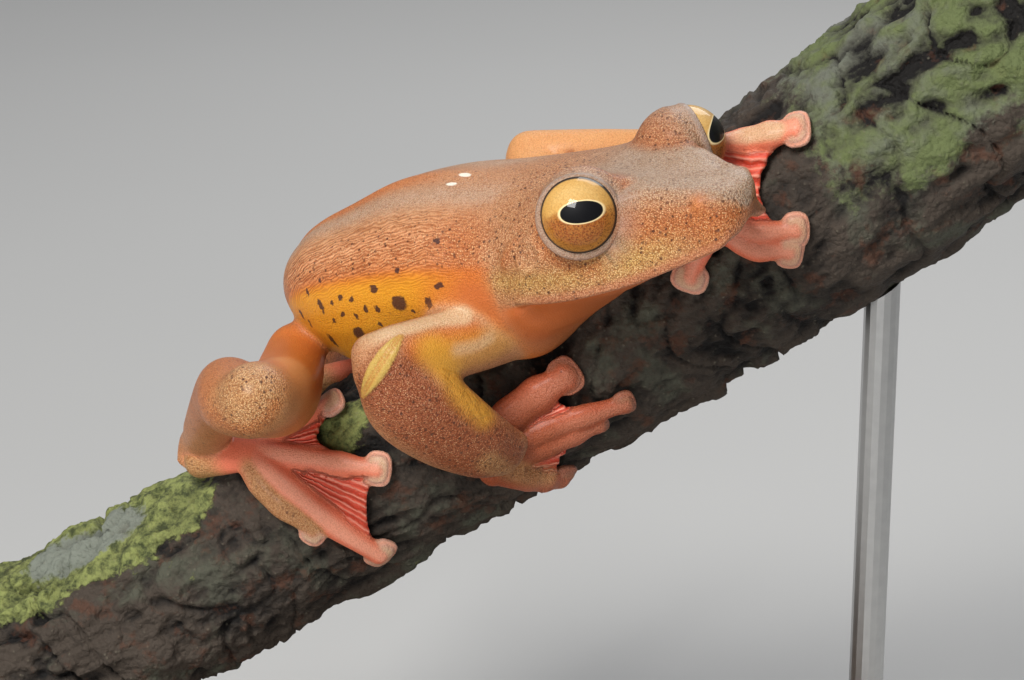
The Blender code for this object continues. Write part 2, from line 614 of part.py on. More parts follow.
def face_hollows(side):
    """What is taken out of one side of the head: the eye's room and the nostril."""
    centre, gaze = eye_frame(side)
    forward, outward, up = NOSTRIL_PIT
    return [ball("socket", centre, EYE_RADIUS, axis=gaze, rows=9, sides=18),
            ball("nostril", head_point(forward, side * outward, up), NOSTRIL_PIT_RADIUS, rows=3, sides=6)]


def make_head(finish):
    """The head with its orbits, lids, nostrils, eardrums and the fold behind each eye."""
    head = make("head", *skin_over(body_surface(0.0, NECK_RING, 16)), finish)
    fuse(head, face_details(1) + face_details(-1))
    hollows = face_hollows(1) + face_hollows(-1)
    cut(head, hollows)
    discard(hollows)
    return head


def limb(kind, word, limbs, finish, rooms, additions=()):
    """One limb piece, cut back from its neighbours, and the room that it takes up itself."""
    piece = tube(f"{kind}_{word}", *limbs[kind], finish)
    room = tube(f"{kind}_room", *limbs[kind])
    if additions:
        fuse(piece, additions)
    cut(piece, rooms)
    return room


def build():
    """Empty the file and make every piece of the frog, its perch and its stand."""
    for piece in list(bpy.data.objects):
        bpy.data.objects.remove(piece)
    flesh = material("flesh", (0.80, 0.42, 0.20), 0.45)
    web = material("web", (0.85, 0.26, 0.18), 0.45)
    gold = material("eye", (0.75, 0.55, 0.16), 0.15)
    wood = material("bark", (0.20, 0.16, 0.11), 0.85)
    plate = material("stand_plate", (0.16, 0.15, 0.14), 0.5)
    steel = material("stand_rod", (0.62, 0.62, 0.62), 0.3, 1.0)

    branch_room = make_branch_room()
    make_branch("perch_branch", wood)
    make_base("stand_base", plate)
    for name, station in ROD_STATIONS.items():
        cut(make_rod(name, station, steel), [branch_room])

    body_room = make("body_room", *skin_over(body_surface(0.0, LAST_RING, 30)))
    face_rooms = face_details(1) + face_details(-1)
    trunk = make("torso", *skin_over(body_surface(NECK_RING + NECK_GAP, LAST_RING, 14)), flesh)
    head = make_head(flesh)
    cut(trunk, [branch_room])
    cut(head, [branch_room])
    for side, word in ((1, "right"), (-1, "left")):
        centre, gaze = eye_frame(side)
        ball("eye_" + word, centre, EYE_RADIUS, gold, axis=gaze, rows=9, sides=18)

    taken = [body_room, branch_room]
    for word, arm, hand in (("right", ARM_RIGHT, HAND_RIGHT), ("left", ARM_LEFT, HAND_LEFT)):
        upper_room = limb("upper_arm", word, arm, flesh, taken + face_rooms)
        folds = [tube("elbow_fold", path, *ELBOW_FOLD_SIZE, steps=5, sides=6, caps=1)
                 for path in ELBOW_FOLDS[word]]
        fore_room = limb("forearm", word, arm, flesh, taken + face_rooms + [upper_room], folds)
        cut(make_foot("hand_" + word, hand, web), [fore_room, body_room] + face_rooms, solver="MANIFOLD")
        discard([upper_room, fore_room])
    for word, leg, foot in (("right", LEG_RIGHT, FOOT_RIGHT), ("left", LEG_LEFT, FOOT_LEFT)):
        thigh_room = limb("thigh", word, leg, flesh, taken)
        taken.append(thigh_room)
        shank_room = limb("shank", word, leg, flesh, taken)
        cut(make_foot("foot_" + word, foot, web), taken + [shank_room], solver="MANIFOLD")
        discard([shank_room])
    discard(taken + face_rooms)


build()
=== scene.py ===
# %% [markdown]
# # A harlequin tree frog on its branch
# This lesson dresses a solid model of a tree frog as the living animal: one moist skin over head, body
# and limbs, two gold eyes, and a piece of mossy branch on a display stand. The solid model gives the frame
# and the sizes, and every shape below is worked out with numpy from a few named sizes in millimetres.

import bmesh
import bpy
import numpy as np
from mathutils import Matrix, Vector
from mathutils.bvhtree import BVHTree


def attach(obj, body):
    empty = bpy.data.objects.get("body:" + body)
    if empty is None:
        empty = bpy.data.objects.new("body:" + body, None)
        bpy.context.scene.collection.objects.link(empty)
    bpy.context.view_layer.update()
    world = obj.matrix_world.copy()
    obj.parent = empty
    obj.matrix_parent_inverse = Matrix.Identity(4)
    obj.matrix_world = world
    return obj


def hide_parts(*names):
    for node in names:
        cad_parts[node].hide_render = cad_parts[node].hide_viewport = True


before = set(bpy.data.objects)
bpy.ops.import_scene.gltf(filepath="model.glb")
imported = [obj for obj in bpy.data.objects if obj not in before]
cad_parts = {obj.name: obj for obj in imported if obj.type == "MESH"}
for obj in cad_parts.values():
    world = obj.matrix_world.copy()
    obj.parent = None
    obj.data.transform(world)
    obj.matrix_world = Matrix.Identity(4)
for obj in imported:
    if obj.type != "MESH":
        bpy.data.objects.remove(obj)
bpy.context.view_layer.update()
print("nodes of the solid model:", len(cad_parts))

MM = 0.001                                  # millimetres to metres
HUB = np.array([0.0, 0.0, 62.0])            # the zero of all places below, over the table

# %% [markdown]
# # Camera, floor and light
# The camera looks at the frog's right side from a little above, as someone who kneels by a bush would. The
# numbers are its distance, its rise and its focal length. The focal length is given in pixels of a picture
# 1024 wide, because it was worked out by matching places on the frog with places in a picture.

# %% Camera
PICTURE = (1024, 680)
VIEW_DISTANCE = 300.0
VIEW_RISE = np.radians(20.0)
FOCAL_PIXELS = 3150.0
SENSOR = 36.0

eye_place = HUB + VIEW_DISTANCE * np.array([0.0, -np.cos(VIEW_RISE), np.sin(VIEW_RISE)])
camera = bpy.data.objects.new("camera", bpy.data.cameras.new("camera"))
camera.data.sensor_width = SENSOR
camera.data.lens = SENSOR * FOCAL_PIXELS / PICTURE[0]
camera.data.clip_start = 0.01
camera.location = eye_place * MM
camera.rotation_euler = (Vector(HUB * MM) - camera.location).to_track_quat("-Z", "Y").to_euler()
bpy.context.scene.collection.objects.link(camera)
bpy.context.scene.camera = camera


def picture_ray(x, y):
    """The direction from the camera through a pixel: right, and up, in focal lengths, from the middle."""
    across = (x - PICTURE[0] / 2) / FOCAL_PIXELS
    rise = (PICTURE[1] / 2 - y) / FOCAL_PIXELS
    return Vector((across, np.cos(VIEW_RISE) + rise * np.sin(VIEW_RISE),
                   rise * np.cos(VIEW_RISE) - np.sin(VIEW_RISE))).normalized()


print("lens", round(camera.data.lens, 1), "mm")

# %% [markdown]
# A broad lamp high on the left gives the soft highlights that make skin look moist, a second one fills the
# shadows from the right, and a third rims the back. They are area lamps, because a small lamp would give
# hard specks on a wet surface.

# %% Floor and lamps


def lamp(name, place, size, power, colour=(1.0, 1.0, 1.0), mirrored=True):
    """A square area lamp aimed at the frog; one that isn't mirrored leaves no highlight."""
    light = bpy.data.lights.new(name, "AREA")
    light.size = size * MM
    light.energy = power
    light.color = colour
    holder = bpy.data.objects.new(name, light)
    holder.location = (HUB + place) * MM
    holder.visible_glossy = mirrored
    holder.rotation_euler = (Vector(HUB * MM) - holder.location).to_track_quat("-Z", "Y").to_euler()
    bpy.context.scene.collection.objects.link(holder)


lamp("key", (-150.0, -270.0, 330.0), 170.0, 2.1, (1.0, 0.98, 0.95))
lamp("fill", (-120.0, -460.0, 10.0), 320.0, 1.1, (0.97, 0.98, 1.0), False)
lamp("rim", (120.0, 340.0, 300.0), 260.0, 1.0)

world = bpy.data.worlds.new("studio")
world.use_nodes = True
sky = world.node_tree.nodes["Background"].inputs
sky["Color"].default_value = (0.92, 0.94, 1.0, 1.0)
sky["Strength"].default_value = 0.22
bpy.context.scene.world = world

FLOOR = 3000.0
floor_mesh = bpy.data.meshes.new("floor")
corners = np.array([(-1, -1, 0), (1, -1, 0), (1, 1, 0), (-1, 1, 0)]) * FLOOR * MM
floor_mesh.from_pydata(corners.tolist(), [], [(0, 1, 2, 3)])
floor = bpy.data.objects.new("floor", floor_mesh)
bpy.context.scene.collection.objects.link(floor)
print("lamps: key, fill, rim")

# %% [markdown]
# # Shader maths
# A shader is a graph of small nodes, which is tedious to wire by hand. Below, one small class stands for a
# socket, so that an expression such as `1 - mask * 0.5` adds its own Math nodes. Colours go through Mix
# nodes, because a Math node would turn them grey.

# %% The socket class and the graph


class Wire:
    """One output socket that does arithmetic."""

    def __init__(self, graph, socket):
        self.graph = graph
        self.socket = socket

    def math(self, operation, *values, clamp=False):
        return self.graph.node("ShaderNodeMath", {"operation": operation, "use_clamp": clamp}, values)

    def __add__(self, other):
        return self.math("ADD", self, other)

    def __sub__(self, other):
        return self.math("SUBTRACT", self, other)

    def __rsub__(self, other):
        return self.math("SUBTRACT", other, self)

    def __mul__(self, other):
        return self.math("MULTIPLY", self, other)

    def __truediv__(self, other):
        return self.math("DIVIDE", self, other)

    def __rtruediv__(self, other):
        return self.math("DIVIDE", other, self)

    def __pow__(self, other):
        return self.math("POWER", self, other)

    __radd__ = __add__
    __rmul__ = __mul__

    def above(self, low, high):
        """0 below low, 1 above high and a straight ramp between them."""
        return self.math("MULTIPLY", self - low, 1.0 / (high - low), clamp=True)

    def least(self, other):
        return self.math("MINIMUM", self, other)


class Graph:
    """A material's node tree, with short ways to add nodes."""

    def __init__(self, name, **constants):
        self.material = bpy.data.materials.new(name)
        self.material.use_nodes = True
        self.tree = self.material.node_tree
        self.shader = self.tree.nodes["Principled BSDF"]
        for socket, value in constants.items():
            self.shader.inputs[socket.replace("_", " ")].default_value = value
        self.place = self.node("ShaderNodeTexCoord", output="Object")

    def node(self, kind, settings=None, inputs=(), output=0):
        """Add a node: its settings first, then a value or a link for each input."""
        made = self.tree.nodes.new(kind)
        for key, value in (settings or {}).items():
            setattr(made, key, value)
        pairs = inputs.items() if isinstance(inputs, dict) else enumerate(inputs)
        for key, value in pairs:
            if isinstance(value, Wire):
                self.tree.links.new(value.socket, made.inputs[key])
            else:
                made.inputs[key].default_value = value
        return Wire(self, made.outputs[output])

    def noise(self, scale, detail=3.0, roughness=0.5, at=None):
        """Cloudy noise; scale counts its blobs in one metre."""
        sockets = {"Vector": at or self.place, "Scale": scale, "Detail": detail, "Roughness": roughness}
        return self.node("ShaderNodeTexNoise", inputs=sockets)

    def cells(self, scale, at=None, output="Distance"):
        """Cells round scattered points; the output is the distance to the nearest of them."""
        sockets = {"Vector": at or self.place, "Scale": scale}
        return self.node("ShaderNodeTexVoronoi", inputs=sockets, output=output)

    def lots(self, scale):
        """A number from 0 to 1 drawn for each of those cells."""
        return self.node("ShaderNodeSeparateColor", inputs=(self.cells(scale, output="Color"),))

    def stretched(self, scale, turn=(0.0, 0.0, 0.0)):
        """Object coordinates turned and stretched, for long grain."""
        sockets = {"Vector": self.place, "Scale": scale, "Rotation": turn}
        return self.node("ShaderNodeMapping", {"vector_type": "TEXTURE"}, sockets)

    def mask(self, name):
        """A number that the mesh carries at each of its points."""
        return self.node("ShaderNodeAttribute", {"attribute_name": name}, output="Fac")

    def mix(self, factor, low, high, blend="MIX"):
        """A colour between two, by a factor."""
        settings = {"data_type": "RGBA", "blend_type": blend}
        return self.node("ShaderNodeMix", settings, {0: factor, 6: rgba(low), 7: rgba(high)}, 2)

    def vector(self, operation, *values, output=0):
        """One step of vector arithmetic."""
        return self.node("ShaderNodeVectorMath", {"operation": operation}, values, output)

    def bump(self, height, distance, strength=1.0):
        """A surface normal tilted by a height, which is given in parts of distance."""
        sockets = {"Height": height, "Distance": distance, "Strength": strength}
        return self.node("ShaderNodeBump", inputs=sockets)

    def wear(self, **links):
        """Link finished values to the shader's own sockets."""
        for socket, wire in links.items():
            self.tree.links.new(wire.socket, self.shader.inputs[socket.replace("_", " ")])


def rgba(colour):
    """A colour with its alpha, or a wire as it is."""
    return colour if isinstance(colour, Wire) else (*colour, 1.0)


floor_look = Graph("pale_floor", Roughness=0.55)
PALE_FLOOR = ((0.50, 0.50, 0.49), (0.54, 0.54, 0.53))
floor_look.wear(Base_Color=floor_look.mix(floor_look.noise(6.0), *PALE_FLOOR))
floor_mesh.materials.append(floor_look.material)
print("shader helpers ready")

# %% [markdown]
# # Curves and surfaces
# Every form here is a stack of rings: a branch, a limb and a finger are all rings carried along a path. The
# path and the sizes are read from a few rows by a Catmull-Rom curve, which passes through each row. The body
# is a stack of rings too, but each ring is drawn through eight rails: crown, ridge, cheek, three at the
# lips, throat and chin.

# %% Curves


def curve(rows, at):
    """Rows joined smoothly (Catmull-Rom), read at places 0 to len(rows) - 1."""
    rows = np.asarray(rows, float)
    rows = np.concatenate([2 * rows[:1] - rows[1:2], rows, 2 * rows[-1:] - rows[-2:-1]])
    at = np.asarray(at, float)
    first = np.clip(np.floor(at).astype(int), 0, len(rows) - 4)
    t = (at - first).reshape((-1,) + (1,) * (rows.ndim - 1))
    a, b, c, d = rows[first], rows[first + 1], rows[first + 2], rows[first + 3]
    return b + 0.5 * t * (c - a + t * (2 * a - 5 * b + 4 * c - d + t * (3 * (b - c) + d - a)))


def unit(vectors):
    """The same directions with length 1."""
    vectors = np.asarray(vectors, float)
    return vectors / np.linalg.norm(vectors, axis=-1, keepdims=True)


def ease(values, low, high):
    """0 below low, 1 above high, and 3t^2 - 2t^3 between them."""
    t = np.clip((np.asarray(values, float) - low) / (high - low), 0.0, 1.0)
    return t * t * (3.0 - 2.0 * t)


def hump(values, width):
    """A smooth hump exp(-(value / width)^2) round zero."""
    return np.exp(-(np.asarray(values, float) / width) ** 2)


def sideways(direction):
    """Two unit vectors at right angles to a direction and to each other."""
    direction = unit(direction)
    helper = (0.0, 0.0, 1.0) if abs(direction[2]) < 0.9 else (1.0, 0.0, 0.0)
    first = unit(np.cross(direction, helper))
    return first, np.cross(direction, first)


print("curve helpers ready")

# %% [markdown]
# A stack of rings becomes a mesh when each ring is joined to the next by four-sided faces and both ends
# are closed by a fan. Blender's own curves could be bevelled into tubes, but with numbers of our own the
# same rings can also carry marks, such as how far along a finger a point lies.

# %% Meshes from rings


def stack(rings):
    """Points and faces over a stack of closed rings, with a fan to a middle point at each end."""
    rings = np.asarray(rings, float)
    count, sides = rings.shape[:2]
    points = np.concatenate([rings.reshape(-1, 3), rings[:1].mean(axis=1), rings[-1:].mean(axis=1)])
    row, side = np.meshgrid(np.arange(count - 1), np.arange(sides), indexing="ij")
    after = (side + 1) % sides
    quads = np.stack([row * sides + side, row * sides + after,
                      (row + 1) * sides + after, (row + 1) * sides + side], axis=-1).reshape(-1, 4)
    one = np.arange(sides)
    two = (one + 1) % sides
    last = (count - 1) * sides
    fans = np.concatenate([np.column_stack([two, one, np.full(sides, count * sides)]),
                           np.column_stack([last + one, last + two, np.full(sides, count * sides + 1)])])
    return points, quads.tolist() + fans.tolist()


def solid(name, pieces):
    """One mesh object from several stacks of rings, in millimetres from the hub."""
    points, faces, start = [], [], 0
    for some_points, some_faces in pieces:
        points.append(some_points)
        faces += [[corner + start for corner in face] for face in some_faces]
        start += len(some_points)
    mesh = bpy.data.meshes.new(name)
    mesh.from_pydata(((np.concatenate(points) + HUB) * MM).tolist(), [], faces)
    made = bpy.data.objects.new(name, mesh)
    bpy.context.scene.collection.objects.link(made)
    return made


def outward(made):
    """Turn every face of a closed mesh outwards."""
    shape = bmesh.new()
    shape.from_mesh(made.data)
    bmesh.ops.recalc_face_normals(shape, faces=shape.faces)
    shape.to_mesh(made.data)
    shape.free()


TUBE_SIDES = 28


def tube(places, wide, thick, flat_to=(0.0, -1.0, 0.0), steps=40, sides=TUBE_SIDES, caps=7):
    """Oval rings along a smooth path with domed ends.

    A ring is middle + wide cos(a) side + thick sin(a) face, where face looks towards flat_to.
    """
    at = np.linspace(0, len(places) - 1, steps)
    path = curve(places, at)
    size = curve(np.column_stack([wide, thick]), at)
    travel = unit(np.gradient(path, axis=0))
    bend = np.linspace(0, np.radians(84), caps + 1)[1:]
    low, high = size[0].min(), size[-1].min()
    middles = np.concatenate([path[0] - travel[0] * low * np.sin(bend[::-1, None]), path,
                              path[-1] + travel[-1] * high * np.sin(bend[:, None])])
    sizes = np.concatenate([size[0] * np.cos(bend[::-1, None]), size, size[-1] * np.cos(bend[:, None])])
    along = np.concatenate([np.repeat(travel[:1], caps, 0), travel, np.repeat(travel[-1:], caps, 0)])
    side = unit(np.cross(along, flat_to))[:, None]
    face = np.cross(side[:, 0], along)[:, None]
    turn = np.linspace(0, 2 * np.pi, sides, endpoint=False)[None, :, None]
    rings = (middles[:, None] + sizes[:, None, :1] * np.cos(turn) * side
             + sizes[:, None, 1:] * np.sin(turn) * face)
    return stack(rings)


def ball(centre, radius, axis=(0.0, 0.0, 1.0), flat=1.0, square=2.0, rows=17, sides=32, longer=None):
    """A sphere, flattened along its axis, whose outline is a superellipse of the given power.

    The vector longer stretches the outline in its direction, by its length.
    """
    first, second = sideways(axis)
    if longer is not None:
        second = unit(np.cross(axis, longer))
        first = np.cross(second, axis) * np.linalg.norm(longer)
    tilt, turn = np.meshgrid(np.linspace(0, np.pi, rows + 2)[1:-1],
                             np.linspace(0, 2 * np.pi, sides, endpoint=False), indexing="ij")
    reach = (np.abs(np.cos(turn)) ** square + np.abs(np.sin(turn)) ** square) ** (-1.0 / square)
    spoke = (reach * np.cos(turn))[..., None] * first + (reach * np.sin(turn))[..., None] * second
    rings = np.sin(tilt)[..., None] * spoke + flat * np.cos(tilt)[..., None] * unit(axis)
    return stack(np.asarray(centre) + radius * rings)


print("curve and surface helpers ready")

# %% [markdown]
# # The branch
# The branch is a tapering rod that slopes up to the right. Its middle line and radius are rows read by the
# same curve, so that a place on it can be given as a station along X and an angle round it. The bark is a
# height over that rod: long plates from noise that is stretched along the branch, and fine grain on top. An
# image of bark would be quicker, but real relief gives the right shadows and silhouette from every side.

# %% Branch places
BRANCH_X = (-53.0, -35.5, -18.0, -1.1, 13.1, 27.0, 40.5, 53.0)
BRANCH_Z = (-36.6, -27.0, -16.4, -5.7, 3.9, 13.4, 24.2, 35.0)
BRANCH_R = (9.4, 9.3, 9.3, 9.5, 10.3, 11.3, 11.8, 12.0)


def branch_at(station):
    """Middle point, upward normal and radius of the branch at stations along X."""
    rows = np.column_stack([BRANCH_X, BRANCH_Z, BRANCH_R])
    place = np.interp(np.asarray(station, float), BRANCH_X, np.arange(len(BRANCH_X)))
    along = curve(rows, place)
    slope = unit((curve(rows, place + 0.01) - curve(rows, place - 0.01))[:, :2])
    level = np.zeros(len(place))
    centre = np.column_stack([along[:, 0], level, along[:, 1]])
    normal = np.column_stack([-slope[:, 1], level, slope[:, 0]])
    return centre, normal, along[:, 2]


def on_branch(station, degrees, height):
    """Points over the smooth branch: middle + (radius + height) * outward."""
    station, degrees, height = np.broadcast_arrays(np.asarray(station, float), degrees, height)
    centre, normal, radius = branch_at(station.ravel())
    angle = np.radians(degrees.ravel())[:, None]
    outwards = np.cos(angle) * normal + np.sin(angle) * np.array([0.0, -1.0, 0.0])
    points = centre + (radius + height.ravel())[:, None] * outwards
    return points.reshape(station.shape + (3,))


def off_branch(station, degrees):
    """The direction straight out of the branch at one place."""
    return unit(on_branch(station, degrees, 5.0) - on_branch(station, degrees, 0.0))


print("branch length:", round(BRANCH_X[-1] - BRANCH_X[0]), "mm along X")

# %% [markdown]
# The bark's height is a sum of random heights on lattices of several sizes. A ridge comes from folding a
# noise at its middle, a crack from a narrow hump where the noise crosses its middle, and a pit from what
# lies above a threshold. The lattice closes on itself round the branch, so that no seam shows.

# %% Bark relief


def lattice_noise(u, v, cells_u, cells_v, seed):
    """Random heights on a lattice joined by 3t^2 - 2t^3; v runs round and closes on itself."""
    heights = np.random.default_rng(seed).random((cells_u + 2, cells_v))
    u, v = np.clip(u, 0.0, 1.0) * cells_u, v * cells_v
    row, column = np.floor(u).astype(int), np.floor(v).astype(int)
    a, b = ease(u - row, 0.0, 1.0), ease(v - column, 0.0, 1.0)
    one, two = column % cells_v, (column + 1) % cells_v
    low = heights[row, one] * (1 - b) + heights[row, two] * b
    high = heights[row + 1, one] * (1 - b) + heights[row + 1, two] * b
    return low * (1 - a) + high * a


def bark_height(u, v, free):
    """Height of the bark in millimetres: ridged plates, cracks between them, warts and fine grain.

    Where the frog sits, free is 0 and the bark stays under 0.16. Where it is 1 the relief is twice as deep.
    """
    drift = 0.05 * (lattice_noise(u, v, 9, 6, 11) - 0.5)
    slide = 0.05 * (lattice_noise(u, v, 8, 7, 12) - 0.5)
    u2, v2 = u + slide, v + drift
    plates = 1.0 - np.abs(2.0 * lattice_noise(u2, v2, 22, 17, 13) - 1.0)
    strands = 1.0 - np.abs(2.0 * lattice_noise(u2 + 0.5 * drift, v2, 46, 44, 14) - 1.0)
    lumps = lattice_noise(u2, v2, 34, 24, 15)
    grain = lattice_noise(u2, v2, 150, 95, 16) - 0.5
    fine = lattice_noise(u, v, 330, 190, 17) - 0.5
    cracks = hump(lattice_noise(u2, v2, 30, 11, 18) - 0.5, 0.035)
    pits = ease(lattice_noise(u2, v2, 60, 40, 19), 0.70, 0.85)
    height = 0.60 * (plates - 0.5) + 0.40 * (strands - 0.5) + 0.55 * (lumps - 0.5)
    height = (height - 0.45 * cracks - 0.35 * pits) * (1.0 + free) + 0.34 * grain + 0.24 * fine
    return np.minimum(height - 0.40 + 0.25 * free, 0.16 + 0.9 * free)


print("bark formula ready")

# %% [markdown]
# The rod's grid is fine enough for the grain. Under the frog the relief stays low, because the feet have
# to lie on it, and towards both ends and at the back it rises to its full depth.

# %% The branch itself
BARK_ROWS, BARK_SIDES = 470, 208
FROG_MIDDLE = 3.5                            # the station in the middle of the frog
FREE_BARK = (30.0, 38.0)                     # how far from it the bark rises to its full relief
BACK_OF_BRANCH = (146.0, 168.0)              # and from which angles
along, round_it = np.meshgrid(np.linspace(0, 1, BARK_ROWS),
                              np.linspace(0, 1, BARK_SIDES, endpoint=False), indexing="ij")
station = BRANCH_X[0] + along * (BRANCH_X[-1] - BRANCH_X[0])
signed_turn = (360.0 * round_it + 180.0) % 360.0 - 180.0
free = np.maximum(ease(np.abs(station - FROG_MIDDLE), *FREE_BARK),
                  ease(np.abs(signed_turn), *BACK_OF_BRANCH))
height = bark_height(along, round_it, free)
branch = solid("branch", [stack(on_branch(station, 360.0 * round_it, height))])
branch.data.shade_smooth()
outward(branch)
print("branch faces:", len(branch.data.polygons))

# %% [markdown]
# Lichen, moss and bare grey bark each keep to a part of the branch. How much of each there is goes on the
# mesh as numbers from 0 to 1, which the material later frays with noise.

# %% What grows on the bark
LOW_END, HIGH_END = -21.5, 31.0
upper_side = ease(signed_turn, -150.0, -90.0) * (1.0 - ease(signed_turn, 22.0, 62.0))
patch_by_foot = 0.75 * hump((station + 12.5) / 4.0, 1.0) * hump((signed_turn - 38.0) / 22.0, 1.0)
off_the_top = np.abs(signed_turn - 5.0)
growth = {
    "relief": np.clip((height + 1.1) / 1.2, 0.0, 1.0),
    "lichen": ease(LOW_END - station, 0.0, 7.0) * upper_side + patch_by_foot,
    "ash": hump((station + 37.0) / 8.0, 1.0) * hump((signed_turn - 14.0) / 20.0, 1.0),
    "moss": ease(station, HIGH_END - 7.0, HIGH_END + 7.0) * (1.0 - ease(off_the_top, 55.0, 125.0)),
}
for name, values in growth.items():
    layer = branch.data.attributes.new(name, "FLOAT", "POINT")
    ends = [values[0].mean(), values[-1].mean()]
    layer.data.foreach_set("value", np.append(values.ravel(), ends).astype(np.float32))
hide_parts("perch_branch")
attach(branch, "root")
print("numbers kept on the branch:", ", ".join(growth))

# %% [markdown]
# # The frog's body
# Head and trunk are one skin. The head has its own directions, forward, side and up, because it is turned
# away from the branch. Each row below gives a ring of the head: the crown's height and then side and height
# of the ridge, cheek, upper lip, lower lip and throat, and last the chin. The trunk's rings are a wide
# ellipse over the middle and a squarer one below it.

# %% Head and trunk rings
HEAD_CENTRE = np.array([10.78, -16.3, 21.07])
AHEAD = unit([0.706, -0.689, 0.163])
LEFT = np.array([0.657, 0.724, 0.211])
LEFT = unit(LEFT - AHEAD * np.dot(LEFT, AHEAD))
CROWN = np.cross(AHEAD, LEFT)

HEAD_SECTIONS = (
    (14.1, -1.6, (0.5, -1.7), (0.7, -2.1), (0.8, -2.7), (0.5, -3.2), (0.3, -3.4), -3.5),
    (13.3, -0.4, (1.3, -0.5), (1.9, -1.8), (2.2, -3.4), (1.6, -4.3), (0.9, -4.7), -4.8),
    (11.2, 0.3, (2.5, 0.2), (3.2, -1.6), (4.1, -4.4), (3.4, -5.3), (2.0, -5.8), -6.0),
    (8.2, 0.8, (3.1, 0.8), (4.5, -1.7), (5.9, -5.2), (5.1, -6.2), (3.2, -7.0), -7.3),
    (4.8, 1.1, (4.2, 1.3), (6.0, -1.7), (7.7, -6.0), (6.8, -7.2), (4.4, -8.1), -8.4),
    (1.2, 1.3, (5.4, 1.7), (7.8, -1.7), (9.1, -6.6), (8.1, -8.0), (5.4, -9.0), -9.4),
    (-2.4, 1.3, (5.8, 1.4), (8.8, -1.8), (10.1, -7.1), (9.1, -8.6), (6.0, -10.0), -10.6),
    (-6.2, 1.1, (5.8, 0.5), (9.3, -2.4), (10.4, -7.4), (9.6, -9.2), (6.6, -11.3), -12.2),
    (-10.0, 1.0, (6.0, -0.3), (9.4, -3.4), (10.2, -7.4), (9.9, -10.0), (7.4, -13.2), -14.2),
)
MOUTH_CORNER = -8.4
TRUNK_SECTIONS = (
    ((1.2, -7.2, 12.6), 9.8, 6.7, 10.9, 12.0),
    ((-3.4, -4.9, 11.2), 9.9, 7.1, 10.5, 10.0),
    ((-8.2, -2.4, 9.5), 9.7, 6.6, 9.0, 7.0),
    ((-12.4, -0.6, 7.7), 8.8, 6.0, 8.9, 4.0),
    ((-15.7, 0.8, 6.0), 7.4, 5.4, 8.7, 2.0),
    ((-17.9, 1.8, 4.4), 5.9, 4.7, 7.0, 0.0),
    ((-19.5, 2.4, 3.0), 3.6, 3.2, 4.6, 0.0),
    ((-20.3, 2.7, 2.5), 0.8, 0.8, 0.9, 0.0),
)
RAIL_ANGLES = np.radians((0.0, 32.0, 64.0, 92.0, 101.0, 112.0, 146.0, 180.0))
BELLY_POWER = 0.85
LAST_RING = len(HEAD_SECTIONS) + len(TRUNK_SECTIONS) - 1


def head_point(forward, side, up):
    """A place in the head's own directions; side is positive towards the frog's right."""
    return (HEAD_CENTRE + np.multiply.outer(forward, AHEAD) - np.multiply.outer(side, LEFT)
            + np.multiply.outer(up, CROWN))


def head_way(forward, side, up):
    """A direction in the head's own directions."""
    return unit(head_point(forward, side, up) - HEAD_CENTRE)


def whole_ring(half):
    """A closed ring from one half's rails, crown first and belly last, as rows of side and height."""
    half = np.asarray(half, float)
    return np.concatenate([half, half[-2:0:-1] * (-1.0, 1.0)])


def head_ring(forward, crown, ridge, cheek, upper_lip, lower_lip, throat, chin):
    """One ring of the head, with a rail in the line between the lips."""
    mouth = (0.5 * (upper_lip[0] + lower_lip[0]), 0.6 * upper_lip[1] + 0.4 * lower_lip[1])
    ring = whole_ring([(0.0, crown), ridge, cheek, upper_lip, mouth, lower_lip, throat, (0.0, chin)])
    return head_point(np.full(len(ring), forward), ring[:, 0], ring[:, 1])


def trunk_ring(centre, way, width, rise, depth, roll):
    """One ring of the trunk, rolled towards the frog's right."""
    right = unit(np.cross(way, (0.0, 0.0, 1.0)))
    right = right if right[1] < 0 else -right
    up = np.cross(right, way)
    up = up if up[2] > 0 else -up
    turn = np.radians(roll)
    side_way = np.cos(turn) * right - np.sin(turn) * up
    up_way = np.cos(turn) * up + np.sin(turn) * right
    below = np.cos(RAIL_ANGLES) < 0
    side = width * np.where(below, np.abs(np.sin(RAIL_ANGLES)) ** BELLY_POWER, np.sin(RAIL_ANGLES))
    height = np.where(below, -depth * np.abs(np.cos(RAIL_ANGLES)) ** BELLY_POWER, rise * np.cos(RAIL_ANGLES))
    ring = whole_ring(np.column_stack([side, height]))
    return np.asarray(centre) + ring[:, :1] * side_way + ring[:, 1:] * up_way


print("rings of head and trunk:", len(HEAD_SECTIONS), "and", len(TRUNK_SECTIONS))

# %% [markdown]
# The rings stand across the body like the ribs of a boat. Reading them finely along the rails and then
# round each ring gives a smooth hull whose points know their ring and their rail.

# %% The body's surface
body_rows = [head_ring(*section) for section in HEAD_SECTIONS]
ways = unit(np.gradient(np.array([section[0] for section in TRUNK_SECTIONS]), axis=0))
body_rows += [trunk_ring(row[0], way, *row[1:]) for row, way in zip(TRUNK_SECTIONS, ways)]
body_rows = np.array(body_rows)


def body_surface(steps, fineness):
    """The body's rings read finely: along the rails first and then round each ring."""
    rows = curve(body_rows, np.linspace(0.0, LAST_RING, steps))
    wrapped = np.concatenate([rows[:, -2:], rows, rows[:, :3]], axis=1)
    round_places = np.arange(rows.shape[1] * fineness) / fineness + 2.0
    return np.swapaxes(curve(np.swapaxes(wrapped, 0, 1), round_places), 0, 1)


print("body rings:", body_rows.shape)

# %% [markdown]
# # Limbs
# A limb is a chain of tubes: rows of places with half widths and half thicknesses. Where muscles swell, a
# row is wider. The tubes run into each other and into the body, and the skin later closes over all of them.

